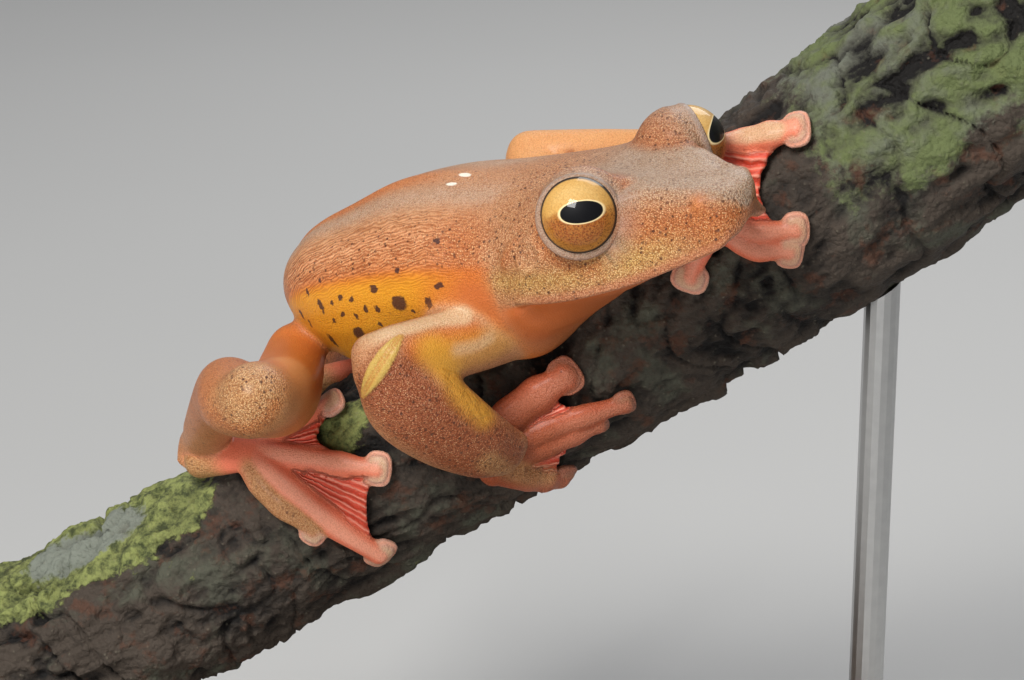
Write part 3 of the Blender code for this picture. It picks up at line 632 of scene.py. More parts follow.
# %% Limb tubes
LIMBS = {
    "upper_arm_right": (((0.5, -9.6, 6.6), (-1.4, -11.4, 5.7), (-5.6, -14.8, 5.0), (-10.6, -17.6, 4.6)),
                        (4.2, 3.8, 3.3, 3.1), (3.6, 3.3, 2.9, 2.9)),
    "forearm_right": (((-11.3, -17.7, 3.8), (-9.2, -17.7, 0.9), (-6.0, -16.9, -2.1), (-2.4, -15.4, -4.8),
                       (0.4, -13.4, -6.3)),
                      (3.2, 4.4, 4.2, 3.4, 2.7), (2.9, 3.0, 2.6, 1.8, 1.1)),
    "upper_arm_left": (((5.6, -3.8, 10.6), (2.9, 2.0, 14.4), (1.6, 5.4, 16.2)),
                       (3.2, 2.6, 2.4), (3.0, 2.5, 2.3)),
    "forearm_left": (((1.7, 6.0, 16.6), (8.2, 3.8, 17.5), (13.4, 0.0, 19.0), (16.9, -2.8, 20.6)),
                     (2.4, 2.3, 2.0, 1.9), (2.3, 2.1, 1.6, 1.3)),
    "thigh_right": (((-20.6, -2.0, -1.0), (-20.9, -8.3, -1.2), (-21.3, -15.5, 0.1), (-22.6, -23.0, 2.8)),
                    (2.9, 3.4, 3.6, 3.5), (2.9, 3.4, 3.6, 3.4)),
    "shank_right": (((-22.9, -23.6, 2.2), (-24.9, -20.6, 1.6), (-25.6, -15.6, 0.8), (-27.6, -8.5, -4.2),
                     (-29.9, -2.2, -9.8)),
                    (2.8, 3.0, 3.1, 2.7, 2.0), (2.8, 3.0, 3.1, 2.7, 1.9)),
    "thigh_left": (((-12.6, 2.0, 3.0), (-14.2, 11.0, 0.4), (-13.4, 19.0, -1.6), (-12.6, 26.0, -4.0)),
                   (3.6, 4.2, 4.0, 3.2), (3.6, 4.2, 4.0, 3.1)),
    "shank_left": (((-12.9, 26.2, -4.6), (-15.0, 23.8, -6.2), (-17.0, 21.0, -6.6), (-19.4, 14.6, -7.2),
                    (-21.2, 8.9, -7.4)),
                   (2.6, 2.9, 3.1, 2.7, 2.0), (2.6, 2.9, 3.1, 2.7, 1.9)),
}
# Rounds of muscle and bone: between the chest and the right arm, at its elbow, and at the right hip.
ROUNDS = {"shoulder": ((1.5, -9.0, 8.0), 4.0), "elbow": ((-12.4, -17.5, 4.9), 2.15),
          "hip": ((-20.4, -2.4, -0.4), 2.9)}
SPURS = {"foot_right": ((-30.2, -2.6, -9.6), (-31.9, -3.4, -11.6)),
         "foot_left": ((-21.8, 9.8, -8.6), (-23.4, 10.6, -10.0))}

print("limb tubes:", len(LIMBS))

# %% [markdown]
# Every piece is remembered with marks at its points: what it is, and where along and round it a point
# lies. The paint later asks for them, which is easier than finding an elbow again by its place in space.

# %% Marked pieces under the skin
KINDS = ("body", "arm", "leg", "digit", "disc", "web")
skin_parts = []
skin_marks = []


def add(kind, stacked, place=0.0, around=0.0):
    """Put a closed piece under the skin.

    Each of its points is marked with the piece's kind and with two places on it, 0 to 1: one along it
    and one round it. They are given for the rings, and the two end points take the last rings' means.
    """
    points, faces = stacked
    marks = np.zeros((len(points), len(KINDS) + 2))
    marks[:, KINDS.index(kind)] = 1.0
    for column, values in ((len(KINDS), place), (len(KINDS) + 1, around)):
        values = np.broadcast_to(values, np.shape(values) if np.ndim(values) == 2 else (1, 1))
        ends = [values[0].mean(), values[-1].mean()]
        marks[:, column] = np.append(values.ravel(), ends) if values.size > 1 else values.ravel()[0]
    skin_parts.append((points, faces))
    skin_marks.append(marks)


BODY_STEPS, BODY_FINENESS = 160, 8
rail = np.arange(14 * BODY_FINENESS) / BODY_FINENESS
degrees_round = np.degrees(np.interp(np.minimum(rail, 14 - rail), np.arange(8), RAIL_ANGLES))
body_place, body_around = np.meshgrid(np.linspace(0, 1, BODY_STEPS), degrees_round / 180.0, indexing="ij")
add("body", stack(body_surface(BODY_STEPS, BODY_FINENESS)), body_place, body_around)
for name, place_and_size in ROUNDS.items():
    add("leg" if name == "hip" else "arm", ball(*place_and_size))
for name, rows in LIMBS.items():
    points, faces = tube(*rows)
    count = (len(points) - 2) // TUBE_SIDES
    half = 0.5 if name.startswith(("forearm", "shank")) else 0.0
    place = half + np.repeat(np.linspace(0, 0.5, count)[:, None], TUBE_SIDES, axis=1)
    add("arm" if "arm" in name else "leg", (points, faces), place)
for path in SPURS.values():
    add("leg", tube(path, (2.3, 1.0), (0.7, 0.35), steps=12, sides=16), 1.0)
print("pieces of body and limbs:", len(skin_parts))

# %% [markdown]
# # Hands and feet
# A tree frog's toes end in round discs that grip, and this one has broad red webs that it spreads to glide.
# All of it lies on the branch, so digits and webs are laid out in stations and degrees and then lifted off
# the bark. A web is a sheet between two digits: its free edge is drawn in, and pleats run along it like the
# folds of a closed fan. The pleats are in the sheet's own surface, so that they catch the light.

# %% Layouts
FEET = {
    "hand_right": {
        "root": (-2.8, 97.0), "palm": 2.9, "rise": 1.0, "disc": (1.7, 1.2, 1.1, 1.65), "reach": 0.86,
        "draw_in": 0.16, "digit": (1.45, 1.0, 1.0, 1.2),
        "digits": (((-2.4, 87.0), (1.6, 82.0), (5.7, 81.0)),
                   ((-1.4, 97.0), (3.0, 101.0), (8.2, 110.0)),
                   ((-1.4, 103.0), (2.2, 108.5), (5.5, 113.0)),
                   ((-2.2, 110.0), (-1.0, 124.0), (0.2, 138.0)))},
    "hand_left": {
        "root": (22.3, 20.0), "palm": 1.8, "rise": 0.75, "disc": (1.6, 1.5, 1.5, 1.6), "reach": 0.84,
        "draw_in": (0.16, 0.10, 0.22), "digit": (1.0, 0.95, 1.0, 1.15),
        "digits": (((24.0, 36.0), (21.4, 57.0), (18.0, 73.0)),
                   ((22.4, 44.0), (22.8, 72.0), (25.5, 86.5)),
                   ((22.8, 43.0), (23.6, 68.0), (26.8, 80.0)),
                   ((24.8, 31.0), (28.0, 37.0), (31.0, 45.0)))},
    "foot_right": {
        "root": (-24.0, 20.0), "palm": 2.0, "rise": 1.0, "disc": (1.3, 1.5, 1.55, 1.55, 1.55), "reach": 0.97,
        "draw_in": (0.20, 0.34, 0.06, 0.08), "digit": (0.85, 0.9, 1.0, 1.1, 0.95),
        "digits": (((-19.4, 22.0), (-17.2, 17.0), (-14.9, 11.0)),
                   ((-19.2, 27.0), (-15.6, 27.0), (-12.2, 24.0)),
                   ((-19.4, 30.0), (-15.0, 52.0), (-11.0, 72.0)),
                   ((-19.8, 31.0), (-17.2, 68.0), (-14.8, 115.0)),
                   ((-20.4, 30.0), (-19.8, 54.0), (-17.8, 83.0)))},
    "foot_left": {
        "root": (-15.6, -42.0), "palm": 2.0, "rise": 1.0, "disc": (1.3, 1.5, 1.5, 1.5, 1.5), "reach": 0.97,
        "draw_in": 0.04, "digit": (0.85, 0.9, 1.05, 1.1, 0.95),
        "digits": (((-10.6, -50.0), (-8.0, -48.0), (-5.0, -46.0)),
                   ((-10.6, -54.0), (-6.6, -57.0), (-2.4, -60.0)),
                   ((-10.8, -56.0), (-6.6, -80.0), (-2.8, -102.0)),
                   ((-11.2, -57.0), (-9.0, -94.0), (-6.8, -138.0)),
                   ((-11.8, -56.0), (-11.2, -82.0), (-9.6, -112.0)))},
}
DIGIT_HEIGHTS = (1.6, 1.35, 1.15, 1.05, 0.95)
PALM_HEIGHTS = (2.2, 1.9, 1.6)
PALM_THICKNESS = (1.6, 1.5, 1.3)
DISC_THICKNESS = 0.75
DISC_STRETCH = 1.28          # how much wider than long a disc is
DISC_SQUARENESS = 3.0
DISC_ROWS, DISC_SIDES = 15, 28
DIGIT_SIDES = 20
DIGIT_FLATNESS = 0.80
DISC_REST = 0.12             # the air under a disc
WEB_HEIGHT = 0.35
WEB_ROOT_RISE = 0.5
WEB_THICKNESS = 0.55
WEB_PLEATS = 6.0
WEB_PLEAT_HEIGHT = 0.50

print("hands and feet laid out:", ", ".join(FEET))

# %% [markdown]
# A finger is a flat tube that swells at its joints. Its disc is a flattened ball with a squarish outline,
# as a real toe pad has. Modelling them one by one would take eighteen times the work, so each layout above
# only says where a digit lies, and three functions draw it.

# %% Digits, discs and webs


def digit_path(digit, count):
    """Points along a digit, over the bark."""
    fraction = np.linspace(0, 1, count)
    laid = curve(digit, fraction * (len(digit) - 1))
    height = np.interp(fraction, np.linspace(0, 1, len(DIGIT_HEIGHTS)), DIGIT_HEIGHTS)
    return on_branch(laid[:, 0], laid[:, 1], height)


def digit_tube(digit, radius):
    """A digit: a flat tube that swells at two joints and narrows before the disc."""
    fraction = np.linspace(0, 1, 15)
    swell = 1.22 - 0.14 * fraction + 0.08 * hump(fraction - 0.36, 0.08) + 0.14 * hump(fraction - 0.68, 0.07)
    wide = radius * (swell - 0.18 * hump(fraction - 0.90, 0.09))
    return tube(digit_path(digit, 15), wide, DIGIT_FLATNESS * wide, off_branch(*digit[1]),
                steps=30, sides=DIGIT_SIDES, caps=4)


def disc_ball(digit, radius):
    """The disc at a digit's tip: a flattened ball, squarish and wider than long, that lies on the bark."""
    centre = on_branch(*digit[-1], DISC_THICKNESS + DISC_REST)
    travel = unit(np.subtract(centre, on_branch(*digit[-2], DISC_THICKNESS)))
    across = np.cross(off_branch(*digit[-1]), travel)
    length = radius / np.sqrt(DISC_STRETCH)
    return ball(centre, length, off_branch(*digit[-1]), DISC_THICKNESS / length, DISC_SQUARENESS,
                DISC_ROWS, DISC_SIDES, DISC_STRETCH * unit(across))


def web_sheet(one, two, reach, draw_in):
    """A closed sheet between two digits.

    A point lies at fraction f from one digit to the other and at place p along them, where p stops at
    reach - draw_in sin(pi f). Its height is that of the web plus a pleat (1 - cos(2 pi pleats f)) / 2.
    """
    fraction, place = np.meshgrid(np.linspace(-0.06, 1.06, 61), np.linspace(0, 1, 34), indexing="ij")
    at = 2.0 * place * (reach - draw_in * np.sin(np.pi * fraction))
    first = curve(one, at.ravel()).reshape(at.shape + (2,))
    second = curve(two, at.ravel()).reshape(at.shape + (2,))
    where = first + fraction[..., None] * (second - first)
    wander = fraction + 0.03 * np.sin(5.0 * place + 9.0 * fraction)
    pleat = 0.5 - 0.5 * np.cos(2 * np.pi * WEB_PLEATS * wander)
    fine = 0.10 * np.sin(2 * np.pi * 3 * WEB_PLEATS * wander + 3.0 * place)
    height = (WEB_HEIGHT + WEB_ROOT_RISE * (1 - place)
              + WEB_PLEAT_HEIGHT * (pleat + fine) * ease(place, 0.12, 0.5))
    bottom = on_branch(where[..., 0], where[..., 1], height)
    top = on_branch(where[..., 0], where[..., 1], height + WEB_THICKNESS)
    both = np.concatenate([place, place[:, ::-1]], axis=1)
    return (stack(np.concatenate([bottom, top[:, ::-1]], axis=1)), both,
            np.concatenate([fraction, fraction[:, ::-1]], axis=1))


def add_foot(layout):
    """All the closed pieces of one hand or foot."""
    digits = layout["digits"]
    roots = np.array([digit[0] for digit in digits]).mean(axis=0)
    path = curve([layout["root"], roots], (0.0, 0.5, 1.0))
    width, rise = layout["palm"], layout["rise"]
    add("digit", tube(on_branch(path[:, 0], path[:, 1], rise * np.array(PALM_HEIGHTS)),
                      (0.82 * width, width, 1.1 * width), rise * np.array(PALM_THICKNESS),
                      off_branch(*path[1])))
    for digit, radius, disc in zip(digits, layout["digit"], layout["disc"]):
        finger = digit_tube(digit, radius)
        rows = (len(finger[0]) - 2) // DIGIT_SIDES
        off_middle = np.abs(np.cos(np.linspace(0, 2 * np.pi, DIGIT_SIDES, endpoint=False)))
        lengthwise = np.repeat(np.linspace(0, 1, rows)[:, None], DIGIT_SIDES, axis=1)
        add("digit", finger, 0.3 + 0.7 * lengthwise, np.repeat(off_middle[None], rows, axis=0))
        from_top = np.repeat(np.linspace(0, 1, DISC_ROWS)[:, None], DISC_SIDES, axis=1)
        add("disc", disc_ball(digit, disc), 1.0, from_top)
    for one, two, draw_in in zip(digits, digits[1:], np.broadcast_to(layout["draw_in"], len(digits) - 1)):
        add("web", *web_sheet(one, two, layout["reach"], draw_in))


for layout in FEET.values():
    add_foot(layout)
print("pieces under the skin:", len(skin_parts))

# %% [markdown]
# # Eyes in the head
# Each eye is a ball in a round bulge of the head. Its place and the way it looks are given in the head's own
# directions, so the two eyes mirror each other.

# %% Eye places
EYE_SIDE = 7.5
EYE_RADIUS = 3.5
EYE_GAZE = (0.64, 0.70, 0.31)
ORBIT_RADIUS = 4.15


def eye_frame(side):
    """An eye's centre and the way it looks; side is 1 for the right eye and -1 for the left."""
    forward, outwards, up = EYE_GAZE
    return head_point(0.0, side * EYE_SIDE, 0.0), head_way(forward, side * outwards, up)


for side in (1, -1):
    centre, gaze = eye_frame(side)
    inward = head_way(-0.25, -side, -0.15)
    add("body", ball(centre + 0.65 * inward - 0.3 * gaze, ORBIT_RADIUS, gaze), 0.31, 0.2)
print("eye centres:", [np.round(eye_frame(side)[0], 1).tolist() for side in (1, -1)])

# %% [markdown]
# # One skin
# All these closed pieces overlap, which would show as seams. A voxel remesh turns them into one closed
# surface, as a sculptor would. It leaves small steps, so the points are then relaxed: each moves part of the
# way to the mean of its neighbours. Limbs and body are relaxed long, which rounds the creases where they
# meet, and the thin webs only a little, or they would melt away.

# %% Reading and writing a mesh


def applied(made):
    """Replace an object's mesh by what its modifiers make of it."""
    graph = bpy.context.evaluated_depsgraph_get()
    mesh = bpy.data.meshes.new_from_object(made.evaluated_get(graph))
    made.modifiers.clear()
    old = made.data
    made.data = mesh
    bpy.data.meshes.remove(old)


def read_points(mesh):
    """A mesh's points in millimetres from the hub."""
    flat = np.empty(len(mesh.vertices) * 3)
    mesh.vertices.foreach_get("co", flat)
    return flat.reshape(-1, 3) / MM - HUB


def write_points(mesh, points):
    """Put points in millimetres from the hub back into a mesh."""
    mesh.vertices.foreach_set("co", ((points + HUB) * MM).ravel())
    mesh.update()


def read_edges(mesh):
    """The two point numbers of every edge."""
    flat = np.empty(len(mesh.edges) * 2, dtype=np.int64)
    mesh.edges.foreach_get("vertices", flat)
    return flat.reshape(-1, 2)


def read_normals(mesh):
    """The unit normal at every point."""
    flat = np.empty(len(mesh.vertices) * 3)
    mesh.vertex_normals.foreach_get("vector", flat)
    return flat.reshape(-1, 3)


print("mesh readers ready")

# %% [markdown]
# Three tools shape the skin from here on. Relaxing evens out steps, the distance to a path draws grooves
# and stripes, and cutting edges in half makes room for fine shapes such as an eyelid.

# %% Relaxing, measuring and cutting


def relaxed(points, edges, amount, rounds):
    """Move each point towards the mean of its neighbours, by its own amount, some rounds long."""
    one, two = edges[:, 0], edges[:, 1]
    count = np.bincount(edges.ravel(), minlength=len(points))[:, None]
    for _ in range(rounds):
        total = np.empty_like(points)
        for axis in range(3):
            total[:, axis] = (np.bincount(one, points[two, axis], len(points))
                              + np.bincount(two, points[one, axis], len(points)))
        points = points + amount[:, None] * (total / count - points)
    return points


def path_distance(points, path):
    """Distance of points to a path of straight pieces, and where along it the nearest spot is, 0 to 1."""
    best = np.full(len(points), np.inf)
    place = np.zeros(len(points))
    last = len(path) - 1
    for number in range(last):
        start, step = path[number], path[number + 1] - path[number]
        t = np.clip((points - start) @ step / (step @ step), 0.0, 1.0)
        away = np.linalg.norm(points - start - t[:, None] * step, axis=1)
        nearer = away < best
        best = np.where(nearer, away, best)
        place = np.where(nearer, (number + t) / last, place)
    return best, place


def write_number(mesh, name, values):
    """Keep a number at every point of a mesh."""
    layer = mesh.attributes.get(name) or mesh.attributes.new(name, "FLOAT", "POINT")
    layer.data.foreach_set("value", np.asarray(values, np.float32))


def write_colour(mesh, name, colours):
    """Keep a colour, or any four numbers, at every point of a mesh."""
    layer = mesh.color_attributes.get(name) or mesh.color_attributes.new(name, "FLOAT_COLOR", "POINT")
    layer.data.foreach_set("color", np.asarray(colours, np.float32).ravel())


def read_colour(mesh, name):
    """The four numbers kept at every point."""
    flat = np.empty(len(mesh.vertices) * 4, np.float32)
    mesh.color_attributes[name].data.foreach_get("color", flat)
    return flat.reshape(-1, 4).astype(float)


def refined(made, wanted):
    """Cut every edge between two wanted points in half, and the faces with them."""
    shape = bmesh.new()
    shape.from_mesh(made.data)
    chosen = [edge for edge in shape.edges if wanted[edge.verts[0].index] and wanted[edge.verts[1].index]]
    bmesh.ops.subdivide_edges(shape, edges=chosen, cuts=1, use_grid_fill=True)
    shape.to_mesh(made.data)
    shape.free()


print("shaping tools ready")

# %% [markdown]
# The voxel remesh forgets every mark, so an unseen copy of the pieces keeps them, and each point of the
# new skin takes those of the nearest place on that copy.

# %% The remesh
VOXEL = 0.2
MARK_LAYERS = ("marks_one", "marks_two")
pattern = solid("pattern", skin_parts)
all_marks = np.concatenate(skin_marks)
for number, layer in enumerate(MARK_LAYERS):
    write_colour(pattern.data, layer, all_marks[:, 4 * number:4 * number + 4])
skin = solid("skin", skin_parts)
outward(skin)
remesh = skin.modifiers.new("remesh", "REMESH")
remesh.mode = "VOXEL"
remesh.voxel_size = VOXEL * MM
applied(skin)


def take_marks():
    """Each point of the skin takes the marks of the nearest place on the pieces under it."""
    for layer in MARK_LAYERS:
        write_colour(skin.data, layer, np.zeros((len(skin.data.vertices), 4)))
    transfer = skin.modifiers.new("marks", "DATA_TRANSFER")
    transfer.object = pattern
    transfer.use_vert_data = True
    transfer.data_types_verts = {"COLOR_VERTEX"}
    transfer.vert_mapping = "POLYINTERP_NEAREST"
    transfer.layers_vcol_vert_select_src = "ALL"
    transfer.layers_vcol_vert_select_dst = "NAME"
    applied(skin)
    return np.concatenate([read_colour(skin.data, layer) for layer in MARK_LAYERS], axis=1)


marks = take_marks()
print("skin faces after the remesh:", len(skin.data.polygons))

# %% [markdown]
# The small parts, digits, discs and webs, get three rounds only. Everything else gets more, and wrists and
# ankles most of all, because their tubes met at an angle that real skin would stretch over.

# %% Relaxing the skin
points = read_points(skin.data)
edges = read_edges(skin.data)
halves = np.full(len(points), 0.5)
small_parts = marks[:, 3:6].sum(axis=1)[:, None] * np.ones(3)
fine_parts = ease(relaxed(small_parts, edges, halves, 6)[:, 0], 0.05, 0.6)
points = relaxed(points, edges, halves, 3)
points = relaxed(points, edges, 0.5 * (1.0 - fine_parts), 34)
for limb in ("forearm_right", "shank_right", "shank_left"):
    close = 1.0 - ease(np.linalg.norm(points - LIMBS[limb][0][-1], axis=1), 2.6, 4.8)
    points = relaxed(points, edges, 0.5 * close * (1.0 - fine_parts), 90)
write_points(skin.data, points)
print("skin points after the remesh:", len(points))

# %% [markdown]
# # The face and other fine shapes
# The lids, the line of the mouth, the nostrils, the eardrum and the fold behind the eye are small beside
# the voxels. So the mesh is first cut finer there, and then its points are moved: outwards for a ridge and
# inwards for a groove, by smooth humps of the distance to a line or a place. Sculpting by hand would do
# the same, but would not be repeatable or alike on both sides.

# %% Finer mesh where the face is


def head_places(points):
    """Forward, side and up in the head's own directions; side is positive on the frog's right."""
    away = points - HEAD_CENTRE
    return away @ AHEAD, -(away @ LEFT), away @ CROWN


mouth_rings = curve(body_rows, np.linspace(0.0, 8.0, 81))
mouth_line = np.column_stack(head_places(mouth_rings[:, 4]))[::-1]


def mouth_up(forward):
    """Height of the line of the mouth at a forward place."""
    return np.interp(forward, mouth_line[:, 0], mouth_line[:, 2])


def near_eye(points):
    """Distance from the nearer eye's centre."""
    return np.minimum(*(np.linalg.norm(points - eye_frame(side)[0], axis=1) for side in (1, -1)))


NOSTRIL = np.array([10.1, 3.1, -0.5])
NOSTRIL_PIT = np.array([9.4, 3.4, -0.5])
forward, side, up = head_places(points)
nostril_distance = np.linalg.norm(np.column_stack([forward, np.abs(side), up]) - NOSTRIL, axis=1)
at_mouth = (np.abs(up - mouth_up(forward)) < 1.1) & (forward > -9.5) & (np.abs(side) < 11.5)
refined(skin, (near_eye(points) < 5.0) | (nostril_distance < 1.6) | at_mouth)
refined(skin, near_eye(read_points(skin.data)) < 4.6)
marks = take_marks()
points, edges = read_points(skin.data), read_edges(skin.data)
everywhere = np.ones(len(points))
points = relaxed(points, edges, 0.5 * (near_eye(points) < 5.4), 12)
write_points(skin.data, points)
print("skin points with a finer face:", len(points))

# %% [markdown]
# A mark such as "arm" jumps from 0 to 1 where two pieces meet. Blurring it over the mesh gives a soft
# border, as between the yellow of the flank and the tan of the arm.

# %% Soft borders
is_body, is_arm, is_leg = relaxed(marks[:, [0, 1, 2]], edges, 0.5 * everywhere, 40).T
is_digit, is_disc, is_web = relaxed(marks[:, 3:6], edges, 0.5 * everywhere, 5).T
place, around, _ = relaxed(marks[:, [6, 7, 7]], edges, 0.3 * everywhere, 2).T
ring = place * LAST_RING
forward, side, up = head_places(points)
head = np.clip(is_body, 0, 1) * (1.0 - ease(ring, 7.6, 9.2))
height = np.zeros(len(points))               # how far each point is moved outwards, in millimetres
print("points of the head:", int((head > 0.5).sum()))

# %% [markdown]
# The mouth is a groove along the rail between the lips, with a full upper lip over it. The lower jaw of a
# tree frog is shorter and tucked under, so below the groove the skin is drawn in, most at the front.

# %% Mouth and lips
TIP_START = 11.8                             # ahead of this the snout is pressed flat,
TIP_PRESS = 0.55                             # by this part of how far it reaches beyond
over_lip = up - mouth_up(forward)
jaw = head * ease(forward, MOUTH_CORNER - 0.8, MOUTH_CORNER + 1.6)
on_jaw = jaw * (1.0 - ease(forward, 12.4, 13.8))
height -= 0.42 * on_jaw * hump(over_lip + 0.05, 0.24)
height += 0.22 * on_jaw * hump(over_lip - 0.50, 0.40)
chin_depth = 0.7 + 1.0 * ease(forward, 0.0, 8.0)
height -= chin_depth * jaw * ease(-over_lip, 0.1, 0.5) * (1.0 - ease(-over_lip, 1.8, 4.6))
print("points on the line of the mouth:", int((on_jaw * hump(over_lip, 0.24) > 0.5).sum()))

# %% [markdown]
# A nostril is a pit on a small mound near the tip of the snout. The eardrum is a shallow disc with a rim,
# behind and below the eye. Both sides are done at once by measuring in a mirrored copy of the places.

# %% Nostrils and eardrum
mirrored = np.column_stack([forward, np.abs(side), up])
nostril_distance = np.linalg.norm(mirrored - NOSTRIL, axis=1)
height += 0.42 * hump(nostril_distance, 0.85) * head
height -= 0.55 * hump(np.linalg.norm(mirrored - NOSTRIL_PIT, axis=1), 0.27) * head
EARDRUM = (-5.6, 9.9, -3.4)
drum = np.linalg.norm(mirrored - EARDRUM, axis=1)
height += head * (0.16 * hump(drum - 1.45, 0.28) - 0.14 * (1.0 - ease(drum, 0.8, 1.4)))
print("nostrils and eardrums laid out")

# %% [markdown]
# A fold of skin runs from the eye over the eardrum to the shoulder, and an edge from the eye to the
# nostril. Each is a hump of the distance to a short path.

# %% The fold behind the eye and the brow
FOLD = curve(((-3.2, 6.6, 2.4), (-5.0, 8.2, 1.2), (-6.8, 9.3, -0.8), (-8.2, 9.9, -3.2), (-9.2, 10.1, -5.6)),
             np.linspace(0, 4, 25))
fold, fold_place = path_distance(mirrored, FOLD)
fold_line = hump(fold, 0.62) * ease(fold_place, 0.0, 0.15) * (1.0 - ease(fold_place, 0.8, 1.0)) * is_body
height += 0.50 * fold_line
height -= 0.25 * hump(fold - 0.95, 0.35) * is_body * ease(mirrored[:, 0], -9.5, -7.0) * (up < 1.0)
BROW = curve(((3.9, 5.2, 1.6), (6.5, 4.0, 1.3), (9.0, 3.1, 0.8)), np.linspace(0, 2, 15))
height += 0.30 * hump(path_distance(mirrored, BROW)[0], 0.50) * head
FAR_HOLLOW = (8.6, -2.6, 1.6)
SIDE_HOLLOW = (6.6, 5.0, -2.2)
in_head = np.column_stack([forward, side, up])
height -= 0.35 * head * hump(np.linalg.norm(in_head - FAR_HOLLOW, axis=1), 1.5)
height -= 0.32 * head * hump(np.linalg.norm(mirrored - SIDE_HOLLOW, axis=1), 2.1)
print("fold, brow and the hollows of the snout laid out")

# %% [markdown]
# Under thin skin the shoulder blade, the spine and the hip bone lift the back a little. They are wide low
# humps over the rings, and only then are all the points moved at once, each along its normal.

# %% Shoulder, spine and hip
trunk_part = is_body * ease(ring, 9.0, 10.0)
height += 0.50 * trunk_part * hump((ring - 10.9) / 1.0, 0.9) * hump(around, 0.17)
height += 0.28 * trunk_part * hump(around, 0.035) * (1.0 - ease(ring, 13.2, 14.2))
height += 0.35 * trunk_part * hump(ring - 12.8, 0.7) * hump(around - 0.12, 0.12)
points = points + height[:, None] * read_normals(skin.data)
points -= (TIP_PRESS * head * np.maximum(forward - TIP_START, 0.0))[:, None] * AHEAD
points = relaxed(points, edges, 0.5 * head * ease(forward, 10.8, 12.0), 12)
print("mouth, nostrils, eardrums and folds: moved up to", round(float(np.abs(height).max()), 2), "mm")

# %% [markdown]
# Round each eye the skin is set by its angle from the way the eye looks. In front of the eye it is drawn
# under the eyeball, at about 72 degrees it comes up through it, rolls over as the lid, and then goes on as
# the bulge of the head.

# %% Lids
LID_ANGLES = np.array([0.0, 66.0, 70.6, 71.6, 73.2, 75.5, 78.2, 81.0, 84.0, 90.0])
LID_RADII = np.array([3.05, 3.05, 3.15, 3.42, 3.76, 3.93, 3.98, 3.93, 3.86, 3.86])
LID_TURN = {1: np.zeros(3), -1: np.array([0.07, 0.23, -0.25])}  # the far eye's upper lid hangs lower
LID_EDGE = 72.5                              # from this angle on the lid is thicker below and behind
LID_FADES = (83.0, 104.0)                    # between these angles it becomes the bulge of the head
LID_REACH = 6.0                              # and nothing is moved farther from the eye than this
lid = np.zeros(len(points))
for which in (1, -1):
    centre, gaze = eye_frame(which)
    away = points - centre
    distance = np.linalg.norm(away, axis=1)
    opening = unit(gaze + LID_TURN[which])
    angle = np.degrees(np.arccos(np.clip(away @ opening / np.maximum(distance, 1e-6), -1.0, 1.0)))
    down = -(away @ CROWN) / np.maximum(distance, 1e-6)
    thick = 0.80 + 0.42 * down - 0.22 * (away @ AHEAD) / np.maximum(distance, 1e-6)
    wanted = np.interp(angle, LID_ANGLES, LID_RADII)
    wanted = np.where(angle > LID_EDGE, EYE_RADIUS + (wanted - EYE_RADIUS) * thick, wanted)
    keep = ease(angle, *LID_FADES)
    close = distance < LID_REACH
    new = np.where(close, wanted * (1 - keep) + distance * keep, distance)
    points = centre + away * (new / np.maximum(distance, 1e-6))[:, None]
    lid = np.maximum(lid, close * hump(angle - 78.0, 5.6))
close_eye = near_eye(points) < 5.2
points = relaxed(points, edges, 0.25 * close_eye, 1)
write_points(skin.data, points)
print("points of the lids:", int((lid > 0.5).sum()))

# %% [markdown]
# Places on the skin that only this frog has, such as a fold of yellow skin on its elbow, are found with a
# ray from the camera to the skin. The distance to such a place, or to a line of them, is then measured in
# space, so that it keeps its shape from every side.

# %% Places on the skin
tree = BVHTree.FromPolygons([Vector(p) for p in points.tolist()],
                            [tuple(face.vertices) for face in skin.data.polygons])
lens_place = Vector(eye_place - HUB)


def pick(x, y):
    """The place on the skin that the camera sees at a pixel, or the nearest one where it sees none."""
    ray = picture_ray(x, y)
    hit = tree.ray_cast(lens_place, ray)[0]
    if hit is None:
        hit = tree.find_nearest(lens_place + ray * (VIEW_DISTANCE - 15.0))[0]
        print("no skin at pixel", x, y)
    return np.array(hit)


def dab(x, y, size):
    """A soft round mask about a place, size in millimetres."""
    return hump(np.linalg.norm(points - pick(x, y), axis=1), size)


def band(pixels, half, soft):
    """A mask along a line of places, with its half width and the softness of its edge, and the distance."""
    path = curve([pick(*pixel) for pixel in pixels], np.linspace(0, len(pixels) - 1, 10 * len(pixels)))
    distance = path_distance(points, path)[0]
    return 1.0 - ease(distance, half, half + soft), distance


# %% [markdown]
# Seen from the front right, the far corner of the lip would stick out as a beak. A real snout is blunt, so
# the corner is pressed in and relaxed.

# %% The corner of the lip at the tip of the snout
LIP_CORNER = (771, 211)
CORNER_SIZE = 2.4
CORNER_PRESS = np.array([-0.95, 0.0, 0.0])
corner = dab(*LIP_CORNER, CORNER_SIZE)
points = points + corner[:, None] * CORNER_PRESS
points = relaxed(points, edges, 0.5 * corner, 40)
write_points(skin.data, points)
print("points round the corner of the lip:", int((corner > 0.5).sum()))

# %% [markdown]
# A lens of loose yellow skin lies over the bent elbow, and three creases run from it along the forearm. A
# disc has a groove round its rim, where the grip pad starts.

